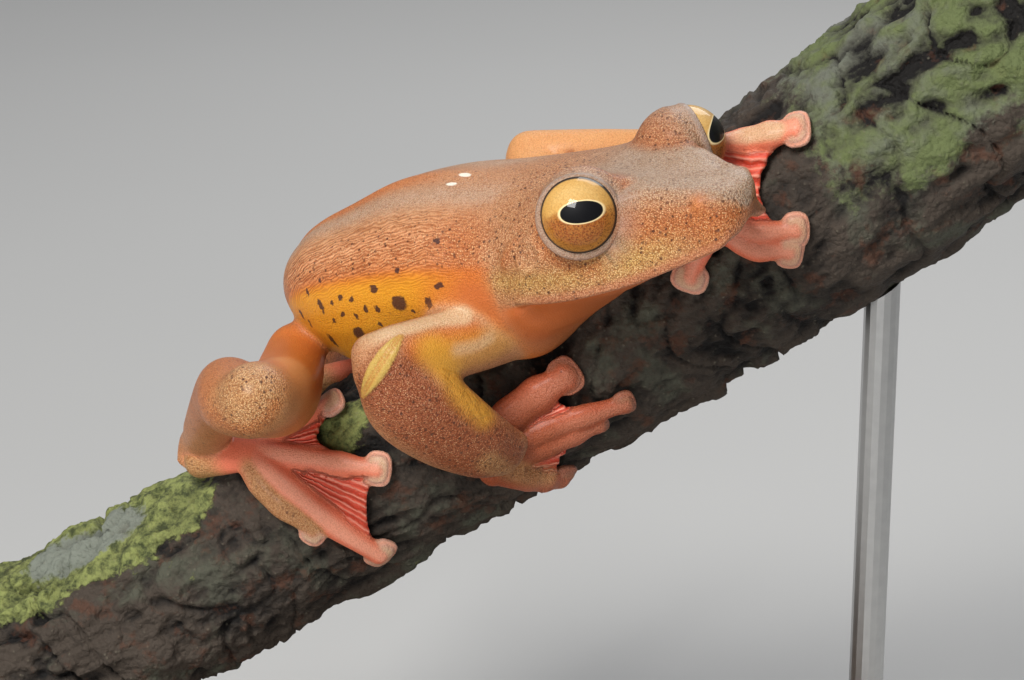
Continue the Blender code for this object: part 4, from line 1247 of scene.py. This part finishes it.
# %% The fold at the elbow and the creases of the forearm
ELBOW_FOLD = ((401, 336), (391, 349), (379, 367), (370, 382), (363, 396))
FOREARM_CREASES = (((384, 376), (402, 384), (423, 396)), ((376, 390), (392, 404), (412, 416)),
                   ((392, 362), (408, 370), (426, 378)))
normals = read_normals(skin.data)
fold_path = curve([pick(*pixel) for pixel in ELBOW_FOLD], np.linspace(0, len(ELBOW_FOLD) - 1, 50))
strap_distance, strap_place = path_distance(points, fold_path)
strap = 1.0 - ease(strap_distance - 0.15 - 0.62 * np.sin(np.pi * strap_place), 0.0, 0.18)
height = 0.20 * strap - 0.16 * hump(strap_distance - 0.16, 0.07) * strap
for crease in FOREARM_CREASES:
    height -= 0.10 * hump(band(crease, 0.0, 1.0)[1], 0.16)
height -= 0.12 * np.clip(is_disc, 0, 1) * hump(around - 0.30, 0.05)
points = points + height[:, None] * normals
write_points(skin.data, points)
print("fold, creases and the grooves of the discs: up to", round(float(np.abs(height).max()), 2), "mm")

# %% [markdown]
# Wrinkles and spots should follow the body and not cut through it as a solid texture would. So each point
# gets two lengths in millimetres, like the threads of a net over the body: one along it from the snout,
# and one round it from the spine, counted negative on the frog's left.

# %% Lengths along and round the body
ring_middles = body_rows.mean(axis=1)
ring_starts = np.append(0.0, np.cumsum(np.linalg.norm(np.diff(ring_middles, axis=0), axis=1)))
half_girths = 0.5 * np.linalg.norm(np.roll(body_rows, -1, axis=1) - body_rows, axis=2).sum(axis=1)
every_ring = np.arange(LAST_RING + 1)
spine = np.interp(ring, every_ring, body_rows[:, 0, 1])
belly = np.interp(ring, every_ring, body_rows[:, 7, 1])
left_or_right = np.where(points[:, 1] < spine + around * (belly - spine), 1.0, -1.0)
along_mm = np.interp(ring, every_ring, ring_starts)
round_mm = around * np.interp(ring, every_ring, half_girths) * left_or_right
print("body length along the rings:", round(float(ring_starts[-1]), 1), "mm")

# %% [markdown]
# # Colour
# The undercoat is painted point by point, as with an airbrush: a palette, and masks that say how much of
# each colour goes on. The fine speckle that covers the real skin comes later, in the material, because it
# is finer than the mesh.

# %% Palette
TAN = (0.54, 0.265, 0.125)
LAVENDER = (0.52, 0.35, 0.24)
ASHEN = (0.43, 0.325, 0.24)
SALMON = (0.62, 0.285, 0.135)
RUST = (0.48, 0.145, 0.03)
ORANGE = (0.60, 0.165, 0.025)
YELLOW = (0.72, 0.31, 0.02)
LEMON = (0.62, 0.30, 0.03)
CREAM = (0.68, 0.43, 0.24)
WHITISH = (0.66, 0.46, 0.27)
STRAW = (0.54, 0.33, 0.10)
CLAY = (0.52, 0.20, 0.075)
ROSE = (0.52, 0.13, 0.03)
CORAL = (0.78, 0.10, 0.05)
BLUSH = (0.80, 0.20, 0.105)
PINK = (0.82, 0.36, 0.235)
BROWN = (0.28, 0.060, 0.015)
UMBER = (0.44, 0.17, 0.08)
GREY = (0.30, 0.235, 0.20)
PEACH = (0.74, 0.36, 0.14)
GOLD = (0.50, 0.27, 0.11)
OLIVE = (0.52, 0.34, 0.08)
SHELL = (0.60, 0.33, 0.24)


class Coat:
    """The skin's undercoat: a colour at every point, and how speckled it is there."""

    def __init__(self, count):
        self.colour = np.tile(np.array(TAN), (count, 1))
        self.speckle = np.full(count, 0.7)

    def paint(self, colour, amount, speckle=None):
        """Lay a colour over the coat where the mask is."""
        amount = np.clip(amount, 0.0, 1.0)
        self.colour += amount[:, None] * (np.array(colour) - self.colour)
        if speckle is not None:
            self.speckle += amount * (speckle - self.speckle)


coat = Coat(len(points))
print("points painted:", len(points))

# %% [markdown]
# On the trunk the colour goes by how far round the body a point is: lavender brown on the back, rust along
# its edge, yellow on the flank and rose on the belly. Each is laid over the last one, as glazes are.

# %% The trunk from the back down to the belly
trunk = np.clip(is_body, 0, 1) * (1.0 - head)
SHOULDER_BLOTCH = (462, 246)
DARK_BEHIND_EYE = (503, 237)
ARMPIT = ((470, 296), (492, 304), (512, 318))
coat.paint(SALMON, trunk * ease(around, 0.16, 0.30), 1.0)
coat.paint(RUST, 0.75 * trunk * dab(*SHOULDER_BLOTCH, 3.2), 1.0)
coat.paint(RUST, 0.55 * trunk * hump(around - 0.36, 0.05) * ease(ring, 9.0, 10.4), 0.9)
coat.paint(GREY, 0.45 * trunk * dab(*DARK_BEHIND_EYE, 1.7), 1.0)
coat.paint(ORANGE, trunk * ease(around, 0.36, 0.42), 0.7)
coat.paint(YELLOW, trunk * ease(around, 0.38, 0.45) * ease(ring, 9.2, 10.4), 0.35)
coat.paint(ORANGE, 0.85 * trunk * ease(around, 0.40, 0.50) * (1.0 - ease(ring, 9.4, 10.6)), 0.3)
coat.paint(ROSE, trunk * ease(around, 0.80, 0.94), 0.15)
coat.paint(ROSE, 0.7 * trunk * band(ARMPIT, 0.6, 1.8)[0], 0.15)
coat.paint(LAVENDER, 0.80 * trunk * hump(around - 0.11, 0.055), 0.7)
coat.paint(ORANGE, 0.65 * trunk * (1.0 - ease(around, 0.02, 0.07)) * ease(ring, 9.6, 11.0), 0.7)
coat.paint(RUST, 0.50 * trunk * ease(ring, 13.5, 15.5) * (1.0 - ease(around, 0.28, 0.40)), 0.8)
print("trunk painted")

# %% [markdown]
# The crown between the eyes is ashen and the cheeks are tan with rust under the edge of the snout. A straw
# band follows the upper lip, and the lids are plain grey.

# %% The head
coat.paint(TAN, head, 1.0)
coat.paint(ASHEN, 0.90 * head * (1.0 - ease(around, 0.14, 0.32)) * ease(forward, -9.0, 0.0), 0.8)
coat.paint(RUST, 0.70 * head * hump(around - 0.36, 0.07) * ease(forward, 2.5, 5.5), 1.0)
coat.paint(GOLD, 0.75 * head * hump(around - 0.46, 0.045) * ease(forward, -7.0, 5.0), 1.0)
coat.paint(RUST, 0.65 * head * hump(around - 0.42, 0.10) * ease(forward, 8.5, 11.0), 1.0)
coat.paint(STRAW, 0.80 * head * hump(over_lip - 2.3, 1.1) * (1.0 - ease(forward, 5.0, 10.0)), 1.0)
lip_edge = ease(over_lip, 0.0, 0.2) * (1.0 - ease(over_lip, 0.7, 1.4)) * ease(forward, -8.0, -5.0)
coat.paint(UMBER, 0.80 * head * lip_edge, 0.8)
coat.paint(PINK, 0.50 * on_jaw * hump(over_lip - 0.22, 0.14), 0.2)
coat.paint(ROSE, head * (1.0 - ease(over_lip, -0.30, 0.05)), 0.08)
coat.paint(RUST, 0.80 * fold_line, 1.0)
coat.paint(GREY, 0.80 * lid, 0.08)
coat.paint(RUST, 0.65 * head * hump(near_eye(points) - 4.75, 0.65), 1.0)
coat.paint(ORANGE, 0.60 * head * hump(nostril_distance, 0.95), 0.5)
print("head painted")

# %% [markdown]
# An arm is plainer where the frog hides it when it sits: its hollow is smooth and yellow, and only what
# shows from above is speckled, the forearm most of all.

# %% Arms
arm = np.clip(is_arm, 0, 1)
FOREARM = ((392, 392), (418, 416), (455, 440), (497, 462))
ARM_RIDGE_STREAK_AND_HIGHLIGHT = ((368, 340), (398, 329), (430, 320), (462, 316))
ARM_HOLLOW = ((432, 350), (448, 370), (462, 392), (484, 412))
UPPER_ARM_MIDDLE = ((418, 350), (444, 343), (470, 336))
UPPER_ARM_LOW = ((446, 356), (472, 352), (498, 342), (520, 330))
ARM_STREAK = ((458, 350), (476, 346), (490, 338))
ELBOW_CORNER = (362, 350)
FAR_ARM_SPECK = (570, 152)
right_arm = arm * (1.0 - ease(points[:, 1], -5.0, 0.0))
coat.paint(PEACH, arm, 0.35)
coat.paint(TAN, right_arm, 0.8)
coat.paint(ORANGE, 0.85 * right_arm * band(UPPER_ARM_MIDDLE, 0.6, 1.6)[0], 0.5)
coat.paint(LEMON, 0.55 * right_arm * band(UPPER_ARM_LOW, 0.8, 1.8)[0], 0.3)
coat.paint(BROWN, 0.80 * right_arm * band(FOREARM, 2.4, 2.4)[0], 0.95)
coat.paint(LEMON, 0.85 * right_arm * band(ARM_HOLLOW, 0.5, 1.9)[0], 0.2)
# The whitish band along the arm's top ridge is partly a pale streak of the skin and partly a painted
# highlight.
coat.paint(WHITISH, 0.9 * band(ARM_RIDGE_STREAK_AND_HIGHLIGHT, 0.55, 0.8)[0], 0.35)
coat.paint(WHITISH, 0.6 * band(ARM_STREAK, 0.1, 0.9)[0], 0.5)
coat.paint(TAN, 0.7 * right_arm * dab(*ELBOW_CORNER, 1.6), 0.7)
coat.paint(OLIVE, strap, 0.2)
# The rust line along the groove of the fold is painted shade in that groove.
coat.paint(RUST, 0.6 * strap * hump(strap_distance - 0.16, 0.09), 0.2)
coat.paint(BROWN, 0.8 * dab(*FAR_ARM_SPECK, 0.35))
print("arms painted")

# %% [markdown]
# The knee is capped with speckled gold, and the inside of the thigh is smooth orange. Where thigh and shank
# touch, the nearer of their middle lines says which of them a point belongs to.

# %% Legs
KNEE = (243, 394)
KNEE_PAINTED_HIGHLIGHT = (250, 372)
KNEE_RIM = ((212, 414), (236, 430), (262, 424), (276, 406))
THIGH_SMOOTH = ((292, 362), (300, 388), (288, 412))


def limb_distance(name):
    """Distance to the nearer of a pair of limbs, measured from their middle lines."""
    paths = [np.array(LIMBS[name + side][0]) for side in ("_right", "_left")]
    return np.minimum(*(path_distance(points, path)[0] for path in paths))


leg = np.clip(is_leg, 0, 1)
knee_distance = np.linalg.norm(points - pick(*KNEE), axis=1)
coat.paint(CLAY, leg, 0.75)
on_thigh = leg * (1.0 - ease(limb_distance("thigh") - limb_distance("shank"), -2.6, 0.6))
coat.paint(ORANGE, 0.85 * on_thigh, 0.15)
coat.paint(PEACH, 0.5 * leg * band(THIGH_SMOOTH, 0.8, 2.6)[0], 0.1)
coat.paint(GOLD, 0.95 * leg * (1.0 - ease(knee_distance, 1.6, 6.0)), 1.0)
# A cream dab high on the knee is a painted highlight.
coat.paint(CREAM, 0.45 * leg * dab(*KNEE_PAINTED_HIGHLIGHT, 2.2), 1.0)
coat.paint(RUST, 0.5 * leg * band(KNEE_RIM, 0.2, 0.9)[0], 1.0)
coat.paint(TAN, 0.6 * leg * ease(place, 0.80, 0.90), 0.8)
print("legs painted")

# %% [markdown]
# The webs are the frog's red parachutes. Toes lie on them as pale pink ribbons. Only the outermost toe and
# finger, which show when the foot is folded, carry the tan and the speckle of the back.

# %% Hands and feet
OUTER_FINGER = ((488, 462), (520, 472), (548, 474))
FAR_FINGER = ((732, 134), (752, 132), (774, 129))
FAR_FINGERS_LOW = (778, 240)
digit = np.clip(is_digit, 0, 1)
disc = np.clip(is_disc, 0, 1)
web = np.clip(is_web, 0, 1)
on_right_hand = ease(points[:, 0], -6.0, -3.0) * (1.0 - ease(points[:, 0], 12.0, 15.0)) * (points[:, 1] < 0)
fingertops = ease(place, 0.34, 0.50) * (1.0 - ease(around, 0.25, 0.80))
coat.paint(BLUSH, digit, 0.20)
coat.paint(PINK, 0.80 * digit * fingertops, 0.30)
for name, layout in FEET.items():
    if name.startswith("foot"):
        outer = path_distance(points, digit_path((layout["root"], *layout["digits"][-1]), 20))[0]
        coat.paint(GOLD, 0.90 * (1.0 - ease(outer, 1.0, 1.7)) * (digit + web), 0.8)
        heel = on_branch(*layout["root"], 1.5)
        coat.paint(GOLD, digit * (1.0 - ease(np.linalg.norm(points - heel, axis=1), 2.0, 4.0)), 0.8)
coat.paint(CORAL, web, 0.0)
coat.paint(SHELL, disc, 0.35)
coat.paint(WHITISH, 0.6 * disc * (1.0 - ease(around, 0.14, 0.26)), 0.2)
coat.paint(PINK, 0.8 * disc * hump(around - 0.34, 0.05), 0.2)
# The right hand lies in shade, so its digits and discs are painted brown, darkest by the wrist: partly their
# own colour and partly painted shade.
coat.paint(BROWN, 0.66 * on_right_hand * (digit + disc), 0.7)
wrist = np.linalg.norm(points - LIMBS["forearm_right"][0][-1], axis=1)
coat.paint(BROWN, 0.75 * on_right_hand * digit * (1.0 - ease(wrist, 2.5, 7.0)), 0.6)
coat.paint(BROWN, 0.35 * (digit + disc) * dab(*FAR_FINGERS_LOW, 4.5), 0.3)
coat.paint(CREAM, 0.85 * (digit + web) * band(FAR_FINGER, 0.7, 0.7)[0], 0.4)
coat.paint(GOLD, 0.75 * band(OUTER_FINGER, 0.5, 1.2)[0], 0.9)
print("hands and feet painted")

# %% [markdown]
# What the material needs is stored at the points: the coat, how speckled it is, and a mask for each kind
# of skin. The two lengths are stored as one vector, so that a pattern can be drawn on them.

# %% Kept on the mesh
write_colour(skin.data, "coat", np.column_stack([coat.colour, np.ones(len(points))]))
write_number(skin.data, "speckle", coat.speckle)
flank = trunk * ease(around, 0.12, 0.20) * (1.0 - ease(around, 0.42, 0.52)) * (1.0 - ease(ring, 14.0, 15.6))
write_number(skin.data, "wavy", flank * ease(ring, 8.6, 10.4))
write_number(skin.data, "trunk", trunk)
write_number(skin.data, "web", web)
write_number(skin.data, "web_across", around)
write_number(skin.data, "arm", right_arm * ease(place, 0.42, 0.52) * (1.0 - strap))
lengths = np.column_stack([along_mm, round_mm, 0.0 * along_mm])
flow = skin.data.attributes.new("flow", "FLOAT_VECTOR", "POINT")
flow.data.foreach_set("vector", lengths.astype(np.float32).ravel())
print("numbers kept on the skin:", len(skin.data.attributes))

# %% [markdown]
# Each spot is laid where a ray through its pixel meets the skin, and remembered by its two lengths. The
# far flank gets the same spots, shifted a little at random, because no frog is the same on both sides.

# %% Where the spots are


def flow_at(x, y):
    """The two lengths, along and round the body, of the place at a pixel."""
    nearest = np.linalg.norm(points - pick(x, y), axis=1).argmin()
    return np.array([along_mm[nearest], round_mm[nearest], 0.0])


# A pixel of each spot on the flank, its radius in millimetres, and how much taller than wide it is.
FLANK_SPOTS = (
    (398, 302, 0.85, 0.85), (374, 289, 0.50, 0.9), (439, 287, 0.48, 0.8), (429, 303, 0.42, 1.0),
    (378, 310, 0.32, 1.0), (366, 310, 0.32, 0.9), (356, 316, 0.26, 1.2), (351, 300, 0.38, 0.9),
    (340, 297, 0.34, 1.2), (320, 304, 0.30, 2.6), (308, 293, 0.22, 2.2), (332, 303, 0.24, 1.0),
    (342, 314, 0.26, 1.0), (334, 321, 0.26, 1.0), (381, 324, 0.34, 0.8), (359, 333, 0.75, 0.9),
    (333, 341, 0.30, 3.0), (316, 341, 0.24, 3.0), (310, 323, 0.20, 1.6), (414, 311, 0.28, 0.8),
    (320, 281, 0.24, 1.2), (397, 269, 0.32, 0.9), (437, 241, 0.34, 1.2), (300, 312, 0.22, 2.0),
)
WHITE_SPOTS = ((465, 175, 0.30, 0.5), (452, 184, 0.26, 0.45))
flank_spots = [(flow_at(x, y), radius, tall) for x, y, radius, tall in FLANK_SPOTS]
white_spots = [(flow_at(x, y), 2.0 * radius, tall) for x, y, radius, tall in WHITE_SPOTS]
wander = np.random.default_rng(7)
flank_spots += [(centre * (1.0, -1.0, 0.0) + (*wander.uniform(-1.4, 1.4, 2), 0.0), radius, tall)
                for centre, radius, tall in flank_spots]
print("spots on both flanks:", len(flank_spots))

# %% [markdown]
# The skin is now a very dense mesh. A decimation keeps the triangles where it is curved and thins them where
# it is smooth. The colours and masks stay with the points.

# %% Fewer faces
for layer in MARK_LAYERS:
    skin.data.attributes.remove(skin.data.attributes[layer])
bpy.data.objects.remove(pattern)
MOST_FACES = 196000
thinner = skin.modifiers.new("thinner", "DECIMATE")
thinner.ratio = MOST_FACES / (2.0 * len(skin.data.polygons))
thinner.use_collapse_triangulate = True
applied(skin)
skin.data.shade_smooth()
print("skin faces:", len(skin.data.polygons))

# %% [markdown]
# # The skin's finish
# Seen close, the skin is a pavement of tiny pale grains with rust-brown gaps and a dark grain here and
# there. Cells round scattered points give exactly that: their distance is low on a grain and high in a
# gap, and their colour output draws the lot of each grain. On the flank the grains stretch into wrinkles,
# so a second set of cells is drawn on the two lengths, longer along the body than round it.

# %% Grains, gaps and wrinkles
GRAIN_SCALE = 6800.0                        # grains in a metre
PEPPER_SCALE = 1900.0
FRECKLE_SCALE = 900.0
WRINKLE_SIZE = (0.90, 0.36)                 # millimetres along and round the body
FULL_TURN = 6.2832
frog_skin = Graph("frog_skin", Subsurface_Weight=0.08, Subsurface_Radius=(1.0, 0.35, 0.15),
                  Subsurface_Scale=0.0008, IOR=1.4, Coat_Weight=0.15, Coat_Roughness=0.25)
g = frog_skin
undercoat = g.node("ShaderNodeAttribute", {"attribute_name": "coat"})
speckle, wavy = g.mask("speckle"), g.mask("wavy")
flow = g.node("ShaderNodeAttribute", {"attribute_name": "flow"}, output="Vector")
cloud = g.noise(420.0, 4.0, 0.6)
patches = g.noise(1300.0, 3.0, 0.6).above(0.38, 0.62)


def warped(graph, at, amount, scale):
    """A vector in millimetres, pushed about by noise."""
    push = graph.node("ShaderNodeTexNoise", inputs={"Vector": at, "Scale": scale, "Detail": 2.0}, output=1)
    middle = graph.vector("SUBTRACT", push, (0.5, 0.5, 0.5))
    return graph.vector("MULTIPLY_ADD", middle, (amount, amount, 0.0), at)


to_folds = (1.0 / WRINKLE_SIZE[0], 1.0 / WRINKLE_SIZE[1], 1.0)
folded = g.vector("MULTIPLY", warped(g, flow, 1.3, 0.75), to_folds)
grain = g.cells(GRAIN_SCALE)
pushed = g.node("ShaderNodeSeparateXYZ", inputs=(folded,), output=1)
wave = pushed.math("SINE", pushed * FULL_TURN) * 0.5 + 0.5
wrinkle = wave * 0.50 + g.cells(1.0, at=folded) * 0.56
bumps = grain + wavy * 0.85 * (wrinkle - grain)
print("wrinkles are", WRINKLE_SIZE[0], "mm long")

# %% [markdown]
# The undercoat is multiplied brighter on the grains and darker in the gaps, so that every glaze below keeps
# its hue. This is partly the skin's own pattern and partly a painted highlight on the raised grains and
# painted shade in the sunken gaps. Some grains are drawn by lot to be gold or nearly black, and larger dark
# dots pepper the rest.

# %% Colours of the grains
lot = g.lots(GRAIN_SCALE)
# Paler on the raised grains and wrinkle crests, darker in the sunken gaps and troughs: partly the skin's own
# pattern, partly painted highlight and painted shade.
tops = 1.0 - bumps.above(0.12, 0.48)
gaps = bumps.above(0.40, 0.80)
base = g.mix(cloud.above(0.35, 0.70) * 0.55 * speckle, undercoat, (0.80, 0.62, 0.45), "MULTIPLY")
base = g.mix(tops * speckle * (0.45 + 0.45 * patches), base, (1.38, 1.48, 1.65), "MULTIPLY")
base = g.mix(gaps * speckle * 0.85, base, (0.52, 0.34, 0.20), "MULTIPLY")
gold_grain = lot.above(0.62, 0.70) * (1.0 - grain.above(0.25, 0.45)) * speckle.above(0.75, 1.0)
base = g.mix(gold_grain * (0.25 + 0.45 * patches), base, (0.86, 0.60, 0.32))
dark_grain = (1.0 - lot.above(0.13, 0.19)) * (1.0 - grain.above(0.38, 0.56))
dark_grain = dark_grain * (speckle.above(0.55, 1.0) * (1.15 - 0.65 * patches) * 0.80)
base = g.mix(dark_grain, base, (0.06, 0.018, 0.008))
chosen = 1.0 - g.lots(PEPPER_SCALE).above(0.45, 0.47)
pepper = (1.0 - g.cells(PEPPER_SCALE).above(0.20, 0.32)) * chosen * speckle.above(0.60, 0.95)
base = g.mix(pepper * (0.65 + 0.30 * (1.0 - patches)), base, (0.075, 0.022, 0.010))
rare = 1.0 - g.lots(FRECKLE_SCALE).above(0.10, 0.11)
freckle = rare * (1.0 - (g.cells(FRECKLE_SCALE) + cloud * 0.15).above(0.16, 0.22))
base = g.mix(freckle * speckle.above(0.25, 0.5) * 0.7, base, (0.10, 0.03, 0.02))
print("grains in a metre:", GRAIN_SCALE)

# %% [markdown]
# The dark spots of the yellow flanks and the two white ones on the back are drawn on the same two lengths.
# Each is a distance divided by the spot's size; the least of them all, roughened by noise, gives one mask.

# %% Spots


def spots_mask(graph, spots, at):
    """1 inside any of the spots, with a ragged edge."""
    least = None
    for centre, radius, tall in spots:
        off = graph.vector("SUBTRACT", at, tuple(centre))
        scaled = graph.vector("MULTIPLY", off, (1.0 / radius, 1.0 / (radius * tall), 0.0))
        reach = graph.vector("LENGTH", scaled, output="Value")
        least = reach if least is None else least.least(reach)
    return 1.0 - least.above(0.80, 1.12)


ragged = warped(g, flow, 0.7, 2.6)
on_body = g.mask("trunk")
dark_spots = spots_mask(g, flank_spots, ragged) * on_body
pale_spots = spots_mask(g, white_spots, flow) * on_body
base = g.mix(dark_spots * 0.93, base, (0.06, 0.020, 0.016))
base = g.mix(pale_spots, base, (0.85, 0.78, 0.66))
print("dark spots:", len(flank_spots), "and pale ones:", len(white_spots))

# %% [markdown]
# A web's pleats are also painted as pale and deep red lines, drawn by a sine of how far across the web a
# point lies: over the web's own red, the pale lines are a painted highlight on each ridge and the deep red
# ones painted shade in each fold. The forearm's skin is folded in short ridges. All relief that is finer
# than the mesh ends in one bump node, and the skin then takes the places of the flesh nodes.

# %% Webs and forearm wrinkles
PLEAT_LINES = 11.0
in_web = g.mask("web")
across_web = g.mask("web_across") + (g.noise(500.0, 2.0) - 0.5) * 0.10
pleat = across_web.math("SINE", across_web * (FULL_TURN * PLEAT_LINES)) * 0.5 + 0.5
# Pale on the pleat ridges: painted highlight. Deep red in the folds: painted shade.
base = g.mix(in_web * pleat.above(0.55, 1.0) * 0.55, base, (0.88, 0.42, 0.30))
base = g.mix(in_web * (1.0 - pleat.above(0.0, 0.35)) * 0.60, base, (0.46, 0.035, 0.018))
on_arm = g.mask("arm")
arm_folds = g.cells(1900.0, at=g.stretched((1.0, 1.0, 3.2), (0.0, np.radians(-62.0), 0.0)))
relief = (1.0 - bumps) * (0.3 + 0.7 * speckle) + (1.0 - arm_folds) * on_arm * 1.1 + pleat * in_web * 1.6
normal = g.bump(relief, 0.00013, 0.9)
g.wear(Base_Color=base, Roughness=0.36 + 0.20 * cloud, Normal=normal)
skin.data.materials.append(frog_skin.material)
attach(skin, "root")
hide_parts("head", "torso", *LIMBS, *FEET)
print("nodes of the skin's material:", len(frog_skin.tree.nodes))

# %% [markdown]
# # Eyes
# A tree frog's eye is a gold ball with a level, rounded slit. The gold is bright above the pupil and dark
# and sandy below it, a pale thread runs round the slit, and a black line marks the edge of the iris. All
# of it is a pattern of two lengths kept on the ball, across and up from the middle of the pupil. A clear
# coat stands for the wet cornea.

# %% Eye places and patterns
PUPIL = {"half_length": 1.90, "half_height": 0.96, "power": 2.15, "forward": 0.42, "up": 0.30}
PUPIL_TURN = {1: np.zeros(3), -1: np.array([-0.02, -0.22, -0.09])}


def eye_axes(which):
    """The eye's centre and gaze, its long axis across the pupil and its short axis."""
    centre, gaze = eye_frame(which)
    gaze = unit(gaze + PUPIL_TURN[which])
    long_way = head_way(1.0, 0.0, 0.14)
    long_way = unit(long_way - gaze * np.dot(long_way, gaze))
    short_way = np.cross(gaze, long_way)
    return centre, gaze, long_way, short_way * np.sign(short_way @ CROWN)


def iris_look(word):
    """The gold of the iris with its slit."""
    look = Graph("iris_" + word, Roughness=0.55, Coat_Weight=0.45, Coat_Roughness=0.05, IOR=1.25)
    x, y = look.mask("across") - PUPIL["forward"], look.mask("rise") - PUPIL["up"]
    radius = (look.mask("across") ** 2.0 + look.mask("rise") ** 2.0) ** 0.5
    slit = (x.math("ABSOLUTE", x / PUPIL["half_length"]) ** PUPIL["power"]
            + y.math("ABSOLUTE", y / PUPIL["half_height"]) ** PUPIL["power"])
    spokes = look.cells(5200.0)
    sand = look.noise(6000.0, 3.0, 0.7)
    upper = (y + (look.noise(1100.0, 3.0) - 0.5) * 1.2).above(-0.55, 0.35)
    iris = look.mix(upper, (0.27, 0.062, 0.010), (0.64, 0.38, 0.11))
    iris = look.mix(upper * y.above(0.6, 2.0) * 0.6, iris, (0.72, 0.50, 0.20))
    iris = look.mix(radius.above(2.3, 3.0) * 0.55, iris, (0.62, 0.33, 0.06))
    iris = look.mix(spokes.above(0.25, 0.60) * (0.55 - 0.30 * upper), iris, (0.50, 0.20, 0.035))
    iris = look.mix(sand.above(0.50, 0.62) * (0.70 - 0.50 * upper), iris, (0.07, 0.02, 0.006))
    iris = look.mix(1.0 - slit.above(1.0, 1.26), iris, (0.92, 0.74, 0.40))
    iris = look.mix(1.0 - slit.above(0.90, 1.0), iris, (0.002, 0.002, 0.003))
    iris = look.mix(radius.above(3.10, 3.20), iris, (0.01, 0.006, 0.004))
    look.wear(Base_Color=iris)
    return look.material


for which, word in ((1, "right"), (-1, "left")):
    centre, gaze, long_way, short_way = eye_axes(which)
    eye = solid("eyeball_" + word, [ball(centre, EYE_RADIUS, gaze, rows=70, sides=96)])
    outward(eye)
    eye.data.shade_smooth()
    away = read_points(eye.data) - centre
    write_number(eye.data, "across", away @ long_way)
    write_number(eye.data, "rise", away @ short_way)
    eye.data.materials.append(iris_look(word))
    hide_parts("eye_" + word)
    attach(eye, "root")
print("eyeballs: 2, each", len(eye.data.polygons), "faces")

# %% [markdown]
# # Bark, lichen and stand
# Wet bark is nearly black in its cracks and grey-brown on its ridges, so its colour follows the height that
# shaped it; the black of the cracks is partly painted shade. Lichen is a thin yellow-green crust with a
# ragged edge that skips the cracks, on the lower end of the branch, and moss greys the upper end.

# %% Branch material
bark = Graph("branch_bark", Roughness=0.8)
g = bark
relief = g.mask("relief")
mottle = g.noise(900.0, 5.0, 0.7)
blotch = g.noise(150.0, 4.0, 0.6)
pits = g.cells(1700.0)
# Darker in the cracks and paler on the ridges: partly the bark's own colour, partly painted shade in the
# cracks.
light = (relief * 0.9 + (mottle - 0.5) * 0.9 + 0.05).above(0.25, 0.85)
base = g.mix(light, (0.003, 0.002, 0.0015), (0.055, 0.041, 0.030))
base = g.mix(blotch.above(0.52, 0.62) * 0.6 * light, base, (0.085, 0.095, 0.065))
base = g.mix(g.noise(330.0, 4.0, 0.65).above(0.56, 0.66) * 0.55, base, (0.10, 0.035, 0.016))
lichen = (g.mask("lichen") + (blotch - 0.5) * 1.4 + (mottle - 0.5) * 0.5 + relief * 0.25).above(0.50, 0.58)
ash = (g.mask("ash") + (blotch - 0.5) * 0.9 + (mottle - 0.5) * 0.6).above(0.50, 0.60)
moss = (g.mask("moss") + (blotch - 0.5) * 1.2 + (mottle - 0.5) * 0.8).above(0.45, 0.65)
crust = g.mix(mottle.above(0.38, 0.58), (0.045, 0.058, 0.016), (0.25, 0.28, 0.085))
crust = g.mix(ash, crust, (0.20, 0.22, 0.18))
base = g.mix(lichen * (0.55 + 0.4 * relief), base, crust)
moss_colour = g.mix(blotch.above(0.42, 0.58), (0.15, 0.165, 0.125), (0.13, 0.165, 0.055))
base = g.mix(moss * 0.80 * light, base, moss_colour)
sparkle = (1.0 - pits.above(0.12, 0.30)) * mottle.above(0.52, 0.66)
base = g.mix(sparkle * 0.5, base, (0.20, 0.18, 0.13))
rough_bark = g.bump(mottle + (1.0 - pits) * 0.5 + lichen * 0.25, 0.00055, 0.9)
g.wear(Base_Color=base, Roughness=0.72 + 0.2 * mottle, Normal=rough_bark)
branch.data.materials.append(bark.material)
print("nodes of the bark's material:", len(bark.tree.nodes))

# %% [markdown]
# The stand is the solid model's own: a plate of walnut and two rods of brushed steel. Grain is noise that is
# stretched along the board, and brushing only roughens the metal's shine.

# %% Stand
WALNUT = ((0.05, 0.03, 0.02), (0.11, 0.065, 0.035))
STEEL = ((0.50, 0.50, 0.50), (0.62, 0.62, 0.61))
plate = Graph("walnut_plate", Roughness=0.4)
plate.wear(Base_Color=plate.mix(plate.noise(60.0, 5.0, 0.6, plate.stretched((8.0, 1.0, 1.0))), *WALNUT))
steel = Graph("brushed_rod", Metallic=1.0)
steel.wear(Base_Color=steel.mix(steel.noise(900.0), *STEEL), Roughness=0.28 + 0.1 * steel.noise(2000.0))
for name, graph in (("stand_base", plate), ("stand_rod_low", steel), ("stand_rod_high", steel)):
    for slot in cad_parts[name].material_slots:
        slot.material = graph.material
print("stand finished")

# %% [markdown]
# # The end
# The picture's colours are shown with the Standard view transform.

# %% Finish
bpy.context.scene.view_settings.view_transform = "Standard"
